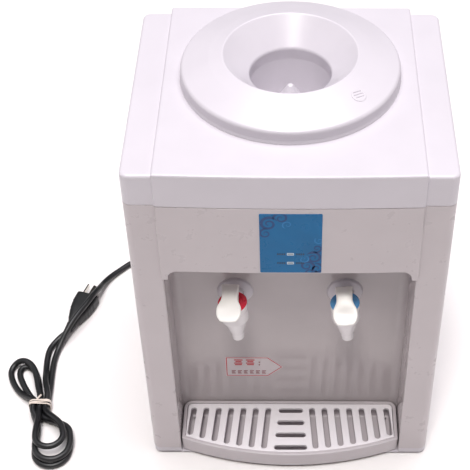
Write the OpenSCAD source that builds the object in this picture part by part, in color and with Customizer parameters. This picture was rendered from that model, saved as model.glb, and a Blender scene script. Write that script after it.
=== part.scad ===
// Countertop water dispenser with a hot and a cold tap, a lift-off bottle
// seat, a slide-out drip tray and a bundled mains cord.
// Millimetres, +Z up, the taps face -Y. The origin is on the table, under the
// middle of the body. Depths called "back from the front" are measured from
// the front plane of the two pillars.

/* [Body] */
// Width over the side panels
body_w = 300; // [290:1:320]
// Depth from the front of the pillars to the back panel
body_d = 250; // [248:1:270]
// Height of the side strips of the top cover
strip_h = 409.5; // [405:0.5:415]
// How far the middle panel of the top cover stands above the strips
panel_rise = 3; // [2:0.5:6]
// Height of the lower edge of the top cover's skirt
skirt_z = 375; // [370:1:380]
// How far the middle panel overhangs the back
back_overhang = 6.5; // [5:0.5:10]
// Height of the base pan's wall
base_h = 10; // [8:1:14]
// Wall thickness of the mouldings
wall = 2.5; // [2:0.1:3]
// Radius of the upright outer corners
corner_r = 8; // [5:1:12]

/* [Front] */
// Half width of the middle fascia
fascia_half = 121.5; // [120:0.5:124]
// How far the fascia stands proud of the pillars at its sides
fascia_step = 2; // [1.5:0.5:3]
// Extra bow of the fascia at its middle
fascia_bow = 2.5; // [1:0.5:4]
// Height of the fascia's lower edge
hem_z = 292; // [288:1:296]
// Height of the lower ends of the hem's side ears
ear_z = 280.4; // [278:0.1:284]
// Half width between the ears
ear_half = 114.9; // [112:0.1:117]
// Half width of the cup bay
bay_half = 119.5; // [118:0.5:120]
// Depth of the bay's back wall, back from the front
bay_d = 55; // [52:1:60]
// Radius of the bay's two upright inner corners
bay_corner_r = 10; // [6:1:14]

/* [Label] */
// Width of the display label
label_w = 57; // [50:1:60]
// Height of the display label
label_h = 75; // [70:1:76]
// Height of the label's middle
label_z = 331.5; // [331:0.5:332]

/* [Taps] */
// Distance of each tap from the middle
tap_x = 56; // [50:0.5:65]
// Height of the taps' shanks
tap_z = 205; // [195:1:215]
// Distance of the spout's axis back from the front
tap_y = 25; // [22:1:28]
// How far the hot lever stands above the cold one
hot_rise = 3; // [0:0.5:4]
// How far the hot lever is turned about its tap
hot_turn = 5; // [0:1:15]
// Lean of both taps about their shanks, tops to the left.
tap_lean = 4.8;
// Tilt of the hot lever, which rests a little higher than the cold one.
hot_tilt = 24;

/* [Bottle seat] */
// Distance of the seat's axis back from the front
seat_y = 144; // [140:1:148]
// Radius of the seat's rim
seat_r = 104.4; // [100:0.1:108]
// Height of the rim's top edge
rim_z = 425.3; // [423:0.1:428]
// Radius of the raised lip round the funnel
lip_r = 63.8; // [62:0.1:66]
// Height of the lip
lip_z = 438.8; // [436:0.1:442]
// Radius of the throat that takes the bottle's neck
throat_r = 39; // [38:0.1:40]
// Height of the throat's upper edge
throat_z = 414; // [412:0.5:416]

/* [Drip tray] */
// How far the tray reaches in front of the pillars
tray_reach = 19.5; // [16:0.5:25]
// Half width of the tray
tray_half = 118.5; // [117:0.5:119]
// Height of the tray's rim
tray_top = 24.3; // [22:0.1:27]
// Width of the tray's rim round the grid
tray_rim = 4; // [3:0.5:6]

/* [Cord] */
// Diameter of the mains cord
cord_d = 7; // [6:0.5:8]

/* [Hidden] */

$fn = 64;
half_w = body_w / 2;
panel_z = strip_h + panel_rise;
front_y = (tray_reach - body_d - back_overhang) / 2;
bay_front_z = hem_z + wall;
side_split = 30;
back_half = half_w - 12;
foot_gap = 1.5;
floor_z = 4;
tray_rear = bay_d - 0.5;
tray_floor_z = 3.5;
tray_corner = 2.6;
ledge_z = 20.6;
grid_z0 = ledge_z + 0.1;
grid_z1 = tray_top - 0.4;
seat_hole_r = 94.5;
straight_z = 402;
well_floor_z = 365;
tank_top = 395;
vent_r = 85;
vent_a = -43;
vent_z = 431.7;
vent_tilt = 19.8;
shank_end = 85;
barrel_r = 14.8;
barrel_top = tap_z + 14.5;
bonnet_top = barrel_top + 1;
fulcrum_y = tap_y - 7;
fulcrum_z = tap_z + 19.2;
lever_tilt = 33;
lever_len = 38;
lever_rear_y = tap_y + 4;
lever_rear_z = tap_z + 34.5;
label_x = 1;
lens_z = [318.5, 306.9];
fan_z = 300;
hot_x = -62;
hot_y = 160;
switch_x = [92, 114];
switch_z = 330;
switch_y = 247;
gland_x = -105;
gland_z = 40;
tie_x = -284;
tie_y = 63;
plug_angle = -18;
plug_x = -250;
plug_y = 226;
plug_z = 8.6;
plug_len = 57;
drain_z = 30;
drain_y = 250.3;

// Routes of the free cord: x, distance back from the front, and height.
cord_route = [[-105, 280, 40], [-105, 292, 39], [-107, 303, 34],
  [-112, 313, 25], [-121, 320, 14], [-133, 323, 6], [-148, 321, 3.6],
  [-164, 315, 3.6], [-180, 307, 3.6], [-195, 297, 3.6], [-208, 286, 3.6],
  [-218, 275, 4], [-226, 264, 6.4], [-232.5, 253, 11], [-237.5, 240, 16.6],
  [-241.5, 226, 20.8], [-245.5, 212.5, 22.2], [-250.5, 200, 22.2],
  [-256, 188, 21.6], [-261.5, 176.5, 20], [-266.5, 167, 16.8],
  [-270, 160.5, 12.8], [-272.8, 155, 9], [-275.2, 149, 6],
  [-277.4, 141, 4], [-278.6, 130, 3.6], [-279, 115, 3.6],
  [-278, 100, 3.6], [-277, 86, 4.4], [-277, 70, 5.5]];
plug_route = [[-267.7, 171.5, 8.6], [-270.4, 166, 8], [-275.6, 161, 6.4],
  [-281, 155.5, 4.4], [-285, 148.5, 3.6], [-287.2, 139, 3.6],
  [-287.8, 128, 3.6], [-287.5, 115, 3.6], [-286, 102, 4.6],
  [-283.4, 92, 8], [-279.8, 82, 11], [-277, 70, 12.6]];
feed_route = [[-24, 164, 232], [-24, 164, 222], [-22, 166, 212],
  [-14, 168, 202], [-4, 170, 190], [2, 170, 176], [4, 168, 150],
  [4, 164, 110], [4, 161, 90], [2, 160, 80], [-3, 160, 73],
  [-10, 160, 70], [-15, 160, 70], [-20, 160, 70]];
hot_hose_route = [[-62, 145, 168], [-62, 145, 176], [-61.5, 143, 186],
  [-60, 137, 196],
  [-58, 126, 202], [-56, 112, 205], [-56, 98, 205], [-56, 88, 205]];
cold_hose_route = [[30, 124, 232], [30, 124, 222], [34, 121, 212],
  [43, 114, 206], [52, 105, 205], [56, 96, 205], [56, 88, 205]];

// Place behind the front plane of the pillars, in the part's own frame.
function fy(y) = front_y + y;
function arc(x, y, r, a0, a1, n = 6) =
  [for (i = [0 : n]) let (a = a0 + (a1 - a0) * i / n)
    [x + r * cos(a), y + r * sin(a)]];
function round_rect(x0, y0, x1, y1, r) = concat(
  arc(x1 - r, y1 - r, r, 0, 90), arc(x0 + r, y1 - r, r, 90, 180),
  arc(x0 + r, y0 + r, r, 180, 270), arc(x1 - r, y0 + r, r, 270, 360));
// A stadium: a slot of the given length and width, along X.
function stadium(len, w) = concat(
  arc(len / 2 - w / 2, 0, w / 2, -90, 90),
  arc(w / 2 - len / 2, 0, w / 2, 90, 270));
// Plan of the bowed middle panel, drawn in by an inset.
function bow_y(x) =
  -fascia_step - fascia_bow * (1 - pow(x / fascia_half, 2));
function middle_plan(inset, back) = concat(
  [for (i = [0 : 16]) let (x = (fascia_half - inset) * (i / 8 - 1))
    [x, fy(bow_y(x) + inset)]],
  [[fascia_half - inset, fy(back - inset)],
   [inset - fascia_half, fy(back - inset)]]);
// Plan of the drip tray: straight back and sides and a curved front.
function tray_front(x, inset) = tray_corner + inset - (tray_reach
  + tray_corner) * (1 - pow(x / tray_half, 2));
function tray_plan(inset) = concat(
  [for (i = [0 : 20]) let (x = (tray_half - inset) * (i / 10 - 1))
    [x, fy(tray_front(x, inset))]],
  arc(tray_half - 9.5, fy(tray_rear - 9.5), 9.5 - inset, 0, 90),
  arc(9.5 - tray_half, fy(tray_rear - 9.5), 9.5 - inset, 90, 180));

// Sweep of a round tube, or of a solid rod when ri is 0, along a route.
function unit(v) = v / norm(v);
function heading(p, i) = unit(p[min(i + 1, len(p) - 1)] - p[max(i - 1, 0)]);
function side_of(t) = unit(cross(t, abs(t[2]) > 0.9 ? [1, 0, 0] : [0, 0, 1]));
function sweep_ring(c, t, r, n, turn) =
  let (u = side_of(t) , v = cross(t, u))
    [for (k = [0 : n - 1]) let (a = 360 * k / n + turn)
      c + r * (cos(a) * u + sin(a) * v)];
// Each ring's first corner follows the one before, so that no side twists.
function turn_from(t0, t1, turn) =
  let (w0 = side_of(t0), v0 = cross(t0, w0), u1 = side_of(t1),
    v1 = cross(t1, u1), d = cos(turn) * w0 + sin(turn) * v0)
    atan2(d * v1, d * u1);
function turns(p, i = 0, turn = 0) = i >= len(p) ? [] :
  let (now = i == 0 ? 0 : turn_from(heading(p, i - 1), heading(p, i), turn))
    concat([now], turns(p, i + 1, now));
module swept(route, ro, ri = 0, n = 8) {
  p = [for (q = route) [q[0], fy(q[1]), q[2]]];
  m = len(p);
  tw = turns(p);
  outer = [for (i = [0 : m - 1])
    each sweep_ring(p[i], heading(p, i), ro, n, tw[i])];
  inner = ri > 0 ? [for (i = [0 : m - 1])
    each sweep_ring(p[i], heading(p, i), ri, n, tw[i])] : [];
  walls = [for (i = [0 : m - 2], k = [0 : n - 1]) let (j = (k + 1) % n)
    each [[i * n + k, i * n + j, (i + 1) * n + k],
      [i * n + j, (i + 1) * n + j, (i + 1) * n + k]]];
  o = m * n;
  lining = ri > 0 ? [for (f = walls) [f[0] + o, f[2] + o, f[1] + o]] : [];
  last = (m - 1) * n;
  ends = ri > 0
    ? [for (k = [0 : n - 1]) let (j = (k + 1) % n)
        each [[k, o + k, j], [j, o + k, o + j],
          [last + k, last + j, o + last + k],
          [last + j, o + last + j, o + last + k]]]
    : [[for (k = [0 : n - 1]) n - 1 - k], [for (k = [0 : n - 1]) last + k]];
  polyhedron(concat(outer, inner), concat(walls, lining, ends));
}

module mirrored_x() { children(); mirror([1, 0, 0]) children(); }
module at(x, y, z) { translate([x, fy(y), z]) children(); }
module along_y(x, y, z) { at(x, y, z) rotate([-90, 0, 0]) children(); }
module block(x0, x1, y0, y1, z0, z1) {
  translate([x0, fy(y0), z0]) cube([x1 - x0, y1 - y0, z1 - z0]);
}
module prism(points, z0, z1) {
  translate([0, 0, z0]) linear_extrude(z1 - z0) polygon(points);
}
// The body's outer plan, in by an inset.
module plan_prism(inset, z0, z1) {
  prism(round_rect(inset - half_w, fy(inset), half_w - inset,
    fy(body_d - inset), corner_r - inset), z0, z1);
}
module shell(z0, z1) {
  difference() {
    plan_prism(0, z0, z1);
    plan_prism(wall, z0 - 1, z1 + 1);
  }
}
module shank_holes(r) {
  mirrored_x() along_y(tap_x, -10, tap_z) cylinder(r = r, h = 100);
}

// ---- Body ----
module base_pan() {
  color("whitesmoke") difference() {
    plan_prism(0, foot_gap, base_h);
    plan_prism(wall, floor_z, base_h + 1);
    block(-bay_half, bay_half, -1, bay_d + 2 * wall, 3.4, base_h + 1);
    mirrored_x() for (y = [20, body_d - 18])
      at(half_w - 22, y, 0) cylinder(r = 9.2, h = foot_gap + 1);
  }
}
module rubber_feet() {
  color("dimgray") mirrored_x() for (y = [20, body_d - 18])
    at(half_w - 22, y, 0) cylinder(r1 = 8, r2 = 9, h = foot_gap + 0.95);
}
module front_frame() {
  color("white") difference() {
    intersection() {
      shell(base_h, skirt_z);
      block(-half_w, half_w, 0, side_split, 0, skirt_z + 1);
    }
    block(-bay_half, bay_half, -1, wall + 1, 0, bay_front_z);
    for (z = lens_z) along_y(label_x, -1, z) cylinder(r = 2.6, h = 8);
  }
}
module side_panel() {
  difference() {
    intersection() {
      shell(base_h, skirt_z);
      block(back_half, half_w, side_split, body_d, 0, skirt_z + 1);
    }
    for (i = [0 : 9])
      block(half_w - 5, half_w + 1, 150, 214, 58 + 9 * i, 62 + 9 * i);
  }
}
module side_panel_right() { color("white") side_panel(); }
module side_panel_left() { color("white") mirror([1, 0, 0]) side_panel(); }
module screw_places() {
  for (x = [-1, 1], z = [22, 190, 362]) at(x * 128, body_d, z) children();
}
module back_panel() {
  color("whitesmoke") difference() {
    block(-back_half, back_half, body_d - wall, body_d, base_h, skirt_z);
    for (i = [0 : 9]) block(-36, 36, body_d - 5, body_d + 1,
      fan_z - 38 + 8 * i, fan_z - 34 + 8 * i);
    for (i = [0 : 5], x = [-1, 1]) block(x * 50 - 34, x * 50 + 34,
      body_d - 5, body_d + 1, 110 + 9 * i, 114 + 9 * i);
    for (x = switch_x) block(x - 6.9, x + 6.9, body_d - 5, body_d + 1,
      switch_z - 10.1, switch_z + 10.1);
    along_y(gland_x, body_d - 5, gland_z) cylinder(r = 6.5, h = 10);
    along_y(hot_x, body_d - 5, drain_z) cylinder(r = 7.5, h = 10);
    screw_places() rotate([90, 0, 0]) cylinder(r = 1.9, h = 10, center = true);
  }
}
module back_screws() {
  color("silver") screw_places() rotate([-90, 0, 0]) difference() {
    union() {
      cylinder(r1 = 3.6, r2 = 2.6, h = 1.8);
      translate([0, 0, -9]) cylinder(r = 1.85, h = 10);
    }
    for (a = [0, 90]) rotate([0, 0, a]) translate([-2, -0.35, 0.9])
      cube([4, 0.7, 2]);
  }
}
module top_cover() {
  color("white") difference() {
    union() {
      plan_prism(0, skirt_z, strip_h);
      prism(middle_plan(0, body_d + back_overhang), skirt_z, panel_z);
    }
    plan_prism(wall, skirt_z - 1, strip_h - wall);
    prism(middle_plan(wall, body_d), skirt_z - 1, panel_z - wall);
    prism(middle_plan(wall, body_d + back_overhang), skirt_z + wall,
      panel_z - wall);
    at(0, seat_y, skirt_z) cylinder(r = seat_hole_r, h = 60);
  }
}
// The fascia seen from the front: a panel with a rounded ear at each end of
// its lower edge.
function fascia_face() = let (r = 10) concat(
  [[-fascia_half, skirt_z], [-fascia_half, ear_z], [-ear_half, ear_z]],
  [for (q = arc(ear_half - r, hem_z - r, r, 0, 90, 8)) [-q[0], q[1]]],
  [for (q = arc(ear_half - r, hem_z - r, r, 90, 0, 8)) q],
  [[ear_half, ear_z], [fascia_half, ear_z], [fascia_half, skirt_z]]);
module front_fascia() {
  color("white") difference() {
    intersection() {
      prism(middle_plan(0, 0), ear_z - 1, skirt_z);
      at(0, 0, 0) rotate([90, 0, 0]) linear_extrude(20)
        polygon(fascia_face());
    }
    block(label_x - label_w / 2 - 0.1, label_x + label_w / 2 + 0.1, -9, -3.9,
      label_z - label_h / 2 - 0.1, label_z + label_h / 2 + 0.1);
    for (z = lens_z) along_y(label_x, -5, z) cylinder(r = 2, h = 8);
  }
}
module bay_liner() {
  reach = bay_half + wall;
  color("white") difference() {
    union() {
      difference() {
        prism(round_rect(-reach, fy(wall), reach, fy(bay_d + wall), wall),
          floor_z + 0.1, bay_front_z);
        prism(round_rect(-bay_half, fy(-30), bay_half, fy(bay_d),
          bay_corner_r), 0, bay_front_z + 1);
      }
      block(-reach + 1, reach - 1, wall, bay_d + 1, hem_z, bay_front_z);
    }
    shank_holes(9);
  }
}
module label_plate() {
  color("steelblue") difference() {
    block(label_x - label_w / 2, label_x + label_w / 2, -4.9, -3.9,
      label_z - label_h / 2, label_z + label_h / 2);
    for (z = lens_z) block(label_x - 2.8, label_x + 2.2, -9, 0,
      z - 0.9, z + 0.9);
  }
}
module indicator_lenses() {
  color("lightgray") for (z = lens_z)
    block(label_x - 2.75, label_x + 2.15, -5, -3.9, z - 0.85, z + 0.85);
}
module indicator_board() {
  color("darkgreen") {
    block(-20, 22, 5, 6.6, 298, 328);
    for (z = lens_z) along_y(label_x, 2.8, z) cylinder(r = 1.6, h = 2.5);
  }
}
// A small arrow-shaped sticker on the bay's back wall.
module notice_sticker() {
  color("mistyrose") at(0, bay_d, 0) rotate([90, 0, 0]) linear_extrude(0.3)
    polygon([[-70.5, 67], [-24, 67], [-7.5, 83], [-24, 99.5], [-70.5, 99.5]]);
}

// ---- Drip tray ----
module drip_tray() {
  color("white") difference() {
    prism(tray_plan(0), tray_floor_z, tray_top);
    prism(tray_plan(tray_rim), ledge_z, tray_top + 1);
    prism(tray_plan(tray_rim + 2.5), tray_floor_z + 2, tray_top + 1);
  }
}
module grid_slots() {
  splay = 4.3;
  rear = 45;
  for (s = [-1, 1], i = [0 : 6]) {
    x = 24.4 + 13.83 * i + 2.2;
    tip = tray_front(x, 0) + 8;
    reach = (rear - tip) / cos(splay);
    at(s * x, (rear + tip) / 2, 0) rotate([0, 0, 90 - s * -splay])
      prism(stadium(reach, 6.2), 0, tray_top + 1);
  }
  for (i = [0 : 3]) at(1, 41 - 16.6 * i, 0)
    prism(stadium(27 + 3 * i, 6.2), 0, tray_top + 1);
}
module drip_grid() {
  color("white") difference() {
    prism(tray_plan(tray_rim + 0.5), grid_z0, grid_z1);
    grid_slots();
  }
}

// ---- Bottle seat ----
module at_vent() {
  at(0, seat_y, 0) rotate([0, 0, vent_a]) translate([vent_r, 0, vent_z])
    rotate([0, vent_tilt, 0]) children();
}
module bottle_seat() {
  color("white") difference() {
    at(0, seat_y, 0) rotate_extrude() {
      polygon([[seat_r + 1, panel_z + 0.1], [seat_r, panel_z + 3],
        [seat_r, rim_z - 1.5], [seat_r - 1.4, rim_z],
        [lip_r + 3.4, lip_z - 0.6], [lip_r, lip_z], [lip_r - 2, lip_z - 0.8],
        [throat_r, throat_z], [throat_r, straight_z], [33, 368],
        [33, well_floor_z], [10.7, well_floor_z], [10.7, well_floor_z - 3],
        [35.5, well_floor_z - 3], [35.5, 367.5],
        [throat_r + wall, straight_z - 0.5],
        [throat_r + wall, throat_z - 1], [lip_r - 0.5, lip_z - 4.5],
        [lip_r + 3, lip_z - 3.6], [seat_r - wall, rim_z - wall],
        [seat_r - wall, panel_z + 0.1]]);
      translate([91, 401]) square([2.5, 26]);
      translate([62, tank_top + 3]) square([2.6, 37]);
    }
    at_vent() translate([0, 0, -12]) cylinder(r = 6.6, h = 20);
  }
}
module bottle_probe() {
  shaft = 10.5;
  color("white") at(0, seat_y, 0) difference() {
    rotate_extrude() polygon([[8, 340], [8, 358], [14, 358],
      [14, well_floor_z - 3.05], [shaft, well_floor_z - 3.05], [shaft, 387],
      [9.4, 389.6], [2.4, 399.4], [0, 400.3], [0, 391], [7.4, 384],
      [7.4, 350], [5.6, 345], [5.6, 340]]);
    for (a = [0, 90]) rotate([0, 0, a])
      translate([-20, -3, well_floor_z + 1]) cube([40, 6, 14]);
  }
}
module air_filter_cap() {
  color("white") at_vent() difference() {
    union() {
      translate([0, 0, -6]) cylinder(r = 6.4, h = 7);
      translate([0, 0, 0.35]) cylinder(r = 7.6, h = 0.9);
    }
    translate([0, 0, -7]) cylinder(r = 5, h = 6.4);
    rotate([0, 0, 75]) for (y = [-3, 0, 3])
      translate([-4, y - 0.6, -3]) cube([8, 1.2, 6]);
  }
}
module seat_gasket() {
  color("lightgray") at(0, seat_y, tank_top) difference() {
    cylinder(r = 66, h = 2.95);
    translate([0, 0, -1]) cylinder(r = 60.5, h = 5);
  }
}

// ---- Cold side ----
module cold_tank() {
  color("gainsboro") difference() {
    union() {
      at(0, seat_y, 238) cylinder(r = 62.5, h = tank_top - 238);
      at(0, seat_y, 390) cylinder(r = 68, h = tank_top - 390);
      at(30, 124, 226) cylinder(r = 5, h = 14);
      at(-24, 164, 226) cylinder(r = 4.5, h = 14);
    }
    at(0, seat_y, 241) cylinder(r = 60, h = tank_top);
    at(30, 124, 220) cylinder(r = 3.6, h = 30);
    at(-24, 164, 220) cylinder(r = 3.3, h = 30);
  }
}
module cold_tank_jacket() {
  color("lightyellow") difference() {
    at(0, seat_y, 231) cylinder(r = 78, h = 157);
    at(0, seat_y, 237.6) cylinder(r = 62.8, h = 160);
    block(-90, 90, 210, 260, 220, 400);
    block(-23, 23, 180, 260, fan_z - 23, fan_z + 23);
    at(30, 124, 220) cylinder(r = 8.5, h = 30);
    at(-24, 164, 220) cylinder(r = 8.5, h = 30);
  }
}
module cold_block() {
  color("silver") difference() {
    block(-22, 22, 190, 215, fan_z - 22, fan_z + 22);
    at(0, seat_y, 240) cylinder(r = 62.6, h = 140);
  }
}
module peltier_module() {
  color("ivory") block(-20, 20, 215.02, 218.98, fan_z - 20, fan_z + 20);
}
module heat_sink() {
  color("silver") {
    block(-48, 48, 219, 223, fan_z - 45, fan_z + 45);
    for (i = [0 : 11]) block(-47 + 8.4 * i, -45.4 + 8.4 * i, 222, 232.5,
      fan_z - 45, fan_z + 45);
  }
}
module fan_frame() {
  color("dimgray") {
    difference() {
      block(-40, 40, 233, 246.8, fan_z - 40, fan_z + 40);
      along_y(0, 230, fan_z) cylinder(r = 37.5, h = 20);
      for (x = [-1, 1], z = [-1, 1])
        along_y(x * 35.7, 230, fan_z + z * 35.7) cylinder(r = 2.1, h = 20);
    }
    along_y(0, 243.8, fan_z) cylinder(r = 12, h = 3);
    for (a = [30, 150, 270]) along_y(0, 244.6, fan_z) rotate([0, 0, a])
      translate([8, -1.5, 0]) cube([30.5, 3, 1.8]);
    along_y(0, 236, fan_z) cylinder(r = 1.5, h = 9);
  }
}
module fan_rotor() {
  color("black") along_y(0, 234, fan_z) difference() {
    union() {
      cylinder(r = 12, h = 9);
      for (i = [0 : 6]) rotate([0, 0, i * 360 / 7]) translate([11, 0, 4.5])
        rotate([35, 0, 0]) translate([0, -5, -0.6]) cube([24.5, 10, 1.2]);
    }
    translate([0, 0, 1.5]) cylinder(r = 1.55, h = 10);
  }
}

// ---- Hot side ----
module hot_tank() {
  color("silver") difference() {
    union() {
      at(hot_x, hot_y, 50) cylinder(r = 40, h = 115);
      at(hot_x, 145, 164) cylinder(r = 5, h = 10);
      at(hot_x + 38, hot_y, 70) rotate([0, 90, 0]) cylinder(r = 4.5, h = 9);
      at(hot_x, hot_y + 25, 36) cylinder(r = 4.5, h = 15);
    }
    at(hot_x, hot_y, 51.2) cylinder(r = 38.8, h = 112.6);
    at(hot_x, 145, 150) cylinder(r = 3.3, h = 40);
    at(hot_x + 30, hot_y, 70) rotate([0, 90, 0]) cylinder(r = 3.3, h = 40);
    at(hot_x, hot_y + 25, 30) cylinder(r = 3.3, h = 40);
    for (x = [-1, 1]) at(hot_x + x * 14, 178, 150) cylinder(r = 4.1, h = 40);
  }
}
module hot_tank_jacket() {
  color("lightyellow") difference() {
    at(hot_x, hot_y, 44) cylinder(r = 54, h = 120);
    at(hot_x, hot_y, 49.8) cylinder(r = 40.3, h = 130);
    at(hot_x + 30, hot_y, 70) rotate([0, 90, 0]) cylinder(r = 9, h = 40);
    at(hot_x, hot_y + 25, 30) cylinder(r = 9, h = 40);
  }
}
module heating_element() {
  color("gray") {
    for (x = [-1, 1]) at(hot_x + x * 14, 178, 70) cylinder(r = 4, h = 108);
    block(hot_x - 18, hot_x + 18, 174, 182, 64, 71);
  }
}
module thermostats() {
  color("darkslategray") for (q = [[-20, 153], [18, 152]])
    at(hot_x + q[0], q[1], 165.05) {
      cylinder(r = 8, h = 6);
      translate([-3, -6, 5]) cube([6, 12, 5]);
    }
}
module feed_hose() { color("white") swept(feed_route, 7, 5.1); }
module hot_hose() { color("white") swept(hot_hose_route, 7, 5.6); }
module cold_hose() { color("white") swept(cold_hose_route, 7, 5.6); }
// The drain runs from the hot tank's floor to the back panel.
module drain_tube() {
  color("white") difference() {
    union() {
      at(hot_x, hot_y + 25, drain_z) cylinder(r = 7, h = 12);
      at(hot_x, hot_y + 25, drain_z) sphere(r = 7);
      along_y(hot_x, hot_y + 25, drain_z) cylinder(r = 7, h = 64.6);
    }
    at(hot_x, hot_y + 25, drain_z) cylinder(r = 4.6, h = 20);
    along_y(hot_x, hot_y + 23, drain_z) cylinder(r = 4.6, h = 80);
  }
}
module drain_cap() {
  color("whitesmoke") along_y(hot_x, drain_y, drain_z) {
    difference() {
      cylinder(r = 9, h = 5.5);
      for (i = [0 : 11]) rotate([0, 0, 30 * i]) translate([9.3, 0, -1])
        cylinder(r = 1, h = 8, $fn = 16);
    }
    translate([0, 0, -8]) cylinder(r = 4.52, h = 8.5);
  }
}

// ---- Electrics ----
module power_board() {
  x = half_w - 20;
  color("darkgreen") {
    block(x, x + 1.6, 120, 220, 40, 145);
    block(x - 32, x + 0.5, 130, 166, 52, 90);
    for (i = [0 : 2]) at(x + 0.5, 140 + 22 * i, 120) rotate([0, -90, 0])
      cylinder(r = 6, h = 22);
    block(x - 16, x + 0.5, 178, 206, 50, 66);
    block(x - 16, x + 0.5, 178, 206, 74, 90);
    for (y = [126, 214], z = [46, 139]) at(x + 1, y, z)
      rotate([0, 90, 0]) cylinder(r = 3, h = half_w - wall - x - 1);
  }
}
module switch_bezels() {
  color("black") for (x = switch_x) difference() {
    union() {
      block(x - 6.7, x + 6.7, 236, body_d + 0.5, switch_z - 9.9,
        switch_z + 9.9);
      block(x - 8.2, x + 8.2, body_d + 0.02, body_d + 1.5, switch_z - 11.5,
        switch_z + 11.5);
    }
    block(x - 5.1, x + 5.1, 241, body_d + 5, switch_z - 8.2, switch_z + 8.2);
    at(x - 6.2, switch_y, switch_z) rotate([0, 90, 0])
      cylinder(r = 1.08, h = 12.4);
  }
}
// A rocker at rest leans towards off.
module rocker(x) {
  at(x, switch_y, switch_z) {
    rotate([-8, 0, 0]) translate([-4.8, 0, 0]) rotate([90, 0, 90])
      linear_extrude(9.6) polygon([[-3, -6.5], [5.2, -6.9], [4, 0],
        [5.2, 6.9], [-3, 6.5]]);
    translate([-6, 0, 0]) rotate([0, 90, 0]) cylinder(r = 1, h = 12);
  }
}
module hot_rocker() { color("red") rocker(switch_x[0]); }
module cold_rocker() { color("green") rocker(switch_x[1]); }

// ---- Taps ----
module wall_rings() {
  color("white") mirrored_x() along_y(tap_x, bay_d - 3.2, tap_z)
    difference() {
      cylinder(r1 = 16.6, r2 = 18.6, h = 3.2);
      translate([0, 0, -1]) cylinder(r = 8.6, h = 6);
    }
}
module tap_nuts() {
  color("gainsboro") mirrored_x() along_y(tap_x, bay_d + wall, tap_z)
    difference() {
      cylinder(r = 15, h = 7, $fn = 6);
      translate([0, 0, -1]) cylinder(r = 8.55, h = 9);
    }
}
// Leans a tap's pieces about the axis of its shank.
module leaned(x) {
  translate([x, 0, tap_z]) rotate([0, -tap_lean, 0])
    translate([-x, 0, -tap_z]) children();
}
module tap_body(x) {
  color("white") leaned(x) difference() {
    union() {
      along_y(x, tap_y, tap_z) cylinder(r = 8.5, h = shank_end - tap_y);
      along_y(x, shank_end, tap_z) cylinder(r = 5, h = 12);
      at(x, tap_y, 0) rotate_extrude() polygon([[0, tap_z - 37],
        [6.3, tap_z - 37], [7.2, tap_z - 28], [12.4, tap_z - 9],
        [13.2, tap_z - 7], [14.2, tap_z - 6.4], [14.4, tap_z - 5],
        [14.4, tap_z + 6], [barrel_r, tap_z + 9], [barrel_r, barrel_top],
        [0, barrel_top]]);
    }
    at(x, tap_y, tap_z - 2) cylinder(r = 11.5, h = 30);
    at(x, tap_y, barrel_top - 2.7) cylinder(r = 14.1, h = 10);
    at(x, tap_y, tap_z - 40) cylinder(r = 4.2, h = 60);
    along_y(x, tap_y, tap_z) cylinder(r = 3.4, h = 100);
  }
}
module bonnet(x, rise, turn, tint) {
  color(tint) leaned(x) at(x, tap_y, 0) rotate([0, 0, turn]) difference() {
    union() {
      translate([0, 0, barrel_top - 2.65])
        cylinder(r = 14, h = bonnet_top - barrel_top + 2.65);
      translate([0, 0, barrel_top])
        cylinder(r = 14.7, h = bonnet_top - barrel_top);
      for (s = [-1, 1]) translate([s * 4.3 - 1.1, 0, 0]) {
        translate([0, -10, bonnet_top - 1])
          cube([2.2, 6, fulcrum_z + rise - bonnet_top + 1]);
        translate([0, -7, fulcrum_z + rise]) rotate([0, 90, 0])
          cylinder(r = 3, h = 2.2);
      }
    }
    cylinder(r = 3.5, h = 400);
    translate([-10, -7, fulcrum_z + rise]) rotate([0, 90, 0])
      cylinder(r = 1.52, h = 20);
  }
}
module lever_pin(x, rise, turn) {
  leaned(x) at(x, tap_y, fulcrum_z + rise) rotate([0, 0, turn])
    translate([-7.3, -7, 0]) rotate([0, 90, 0]) cylinder(r = 1.5, h = 14.6);
}
module lever_pins() {
  color("silver") {
    lever_pin(-tap_x, hot_rise, -hot_turn);
    lever_pin(tap_x, 0, 0);
  }
}
// Outline of the paddle, from its back edge forwards: a waisted neck that
// flares to a wide rounded pad.
function paddle_half(u) = u < 14 ? 7.9 + 0.9 * pow(1 - u / 14, 2)
  : u < 28 ? 7.9 + 4.3 * (1 - cos(180 * (u - 14) / 14)) / 2
  : 12.2 * sqrt(max(0, 1 - pow((u - 28) / 22, 2)));
function paddle_plan() = let (n = 19) concat(
  [for (i = [0 : n]) [paddle_half(2 * i), -2 * i]],
  [for (i = [0 : 4]) let (a = 30 * i + 30) [8 * cos(a), -38 - 2 * sin(a)]],
  [for (i = [0 : n]) [-paddle_half(38 - 2 * i), 2 * i - 38]]);
module lever(x, rise, turn, tilt) {
  color("ivory") leaned(x) at(x, tap_y, rise) rotate([0, 0, turn])
    translate([0, lever_rear_y - tap_y, lever_rear_z]) difference() {
      union() {
        rotate([tilt, 0, 0]) translate([0, 0, -3])
          linear_extrude(3) polygon(paddle_plan());
        for (s = [-1, 1]) translate([s * 6.6 - 0.8, 0, 0])
          rotate([90, 0, 90]) linear_extrude(1.6) polygon([[-0.4, -1.6],
            [-0.4, -10], [-8.5, -17.3], [-11.6, -17.7], [-13.4, -16.2],
            [-18.5, -18.5 * tan(tilt) - 2.6],
            [-18.5, -18.5 * tan(tilt) - 1.5]]);
      }
      translate([-10, -11, -15.3]) rotate([0, 90, 0])
        cylinder(r = 1.58, h = 20);
      translate([-10, -5.5, -11.8]) cube([20, 5.3, 3.8]);
    }
}
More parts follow.
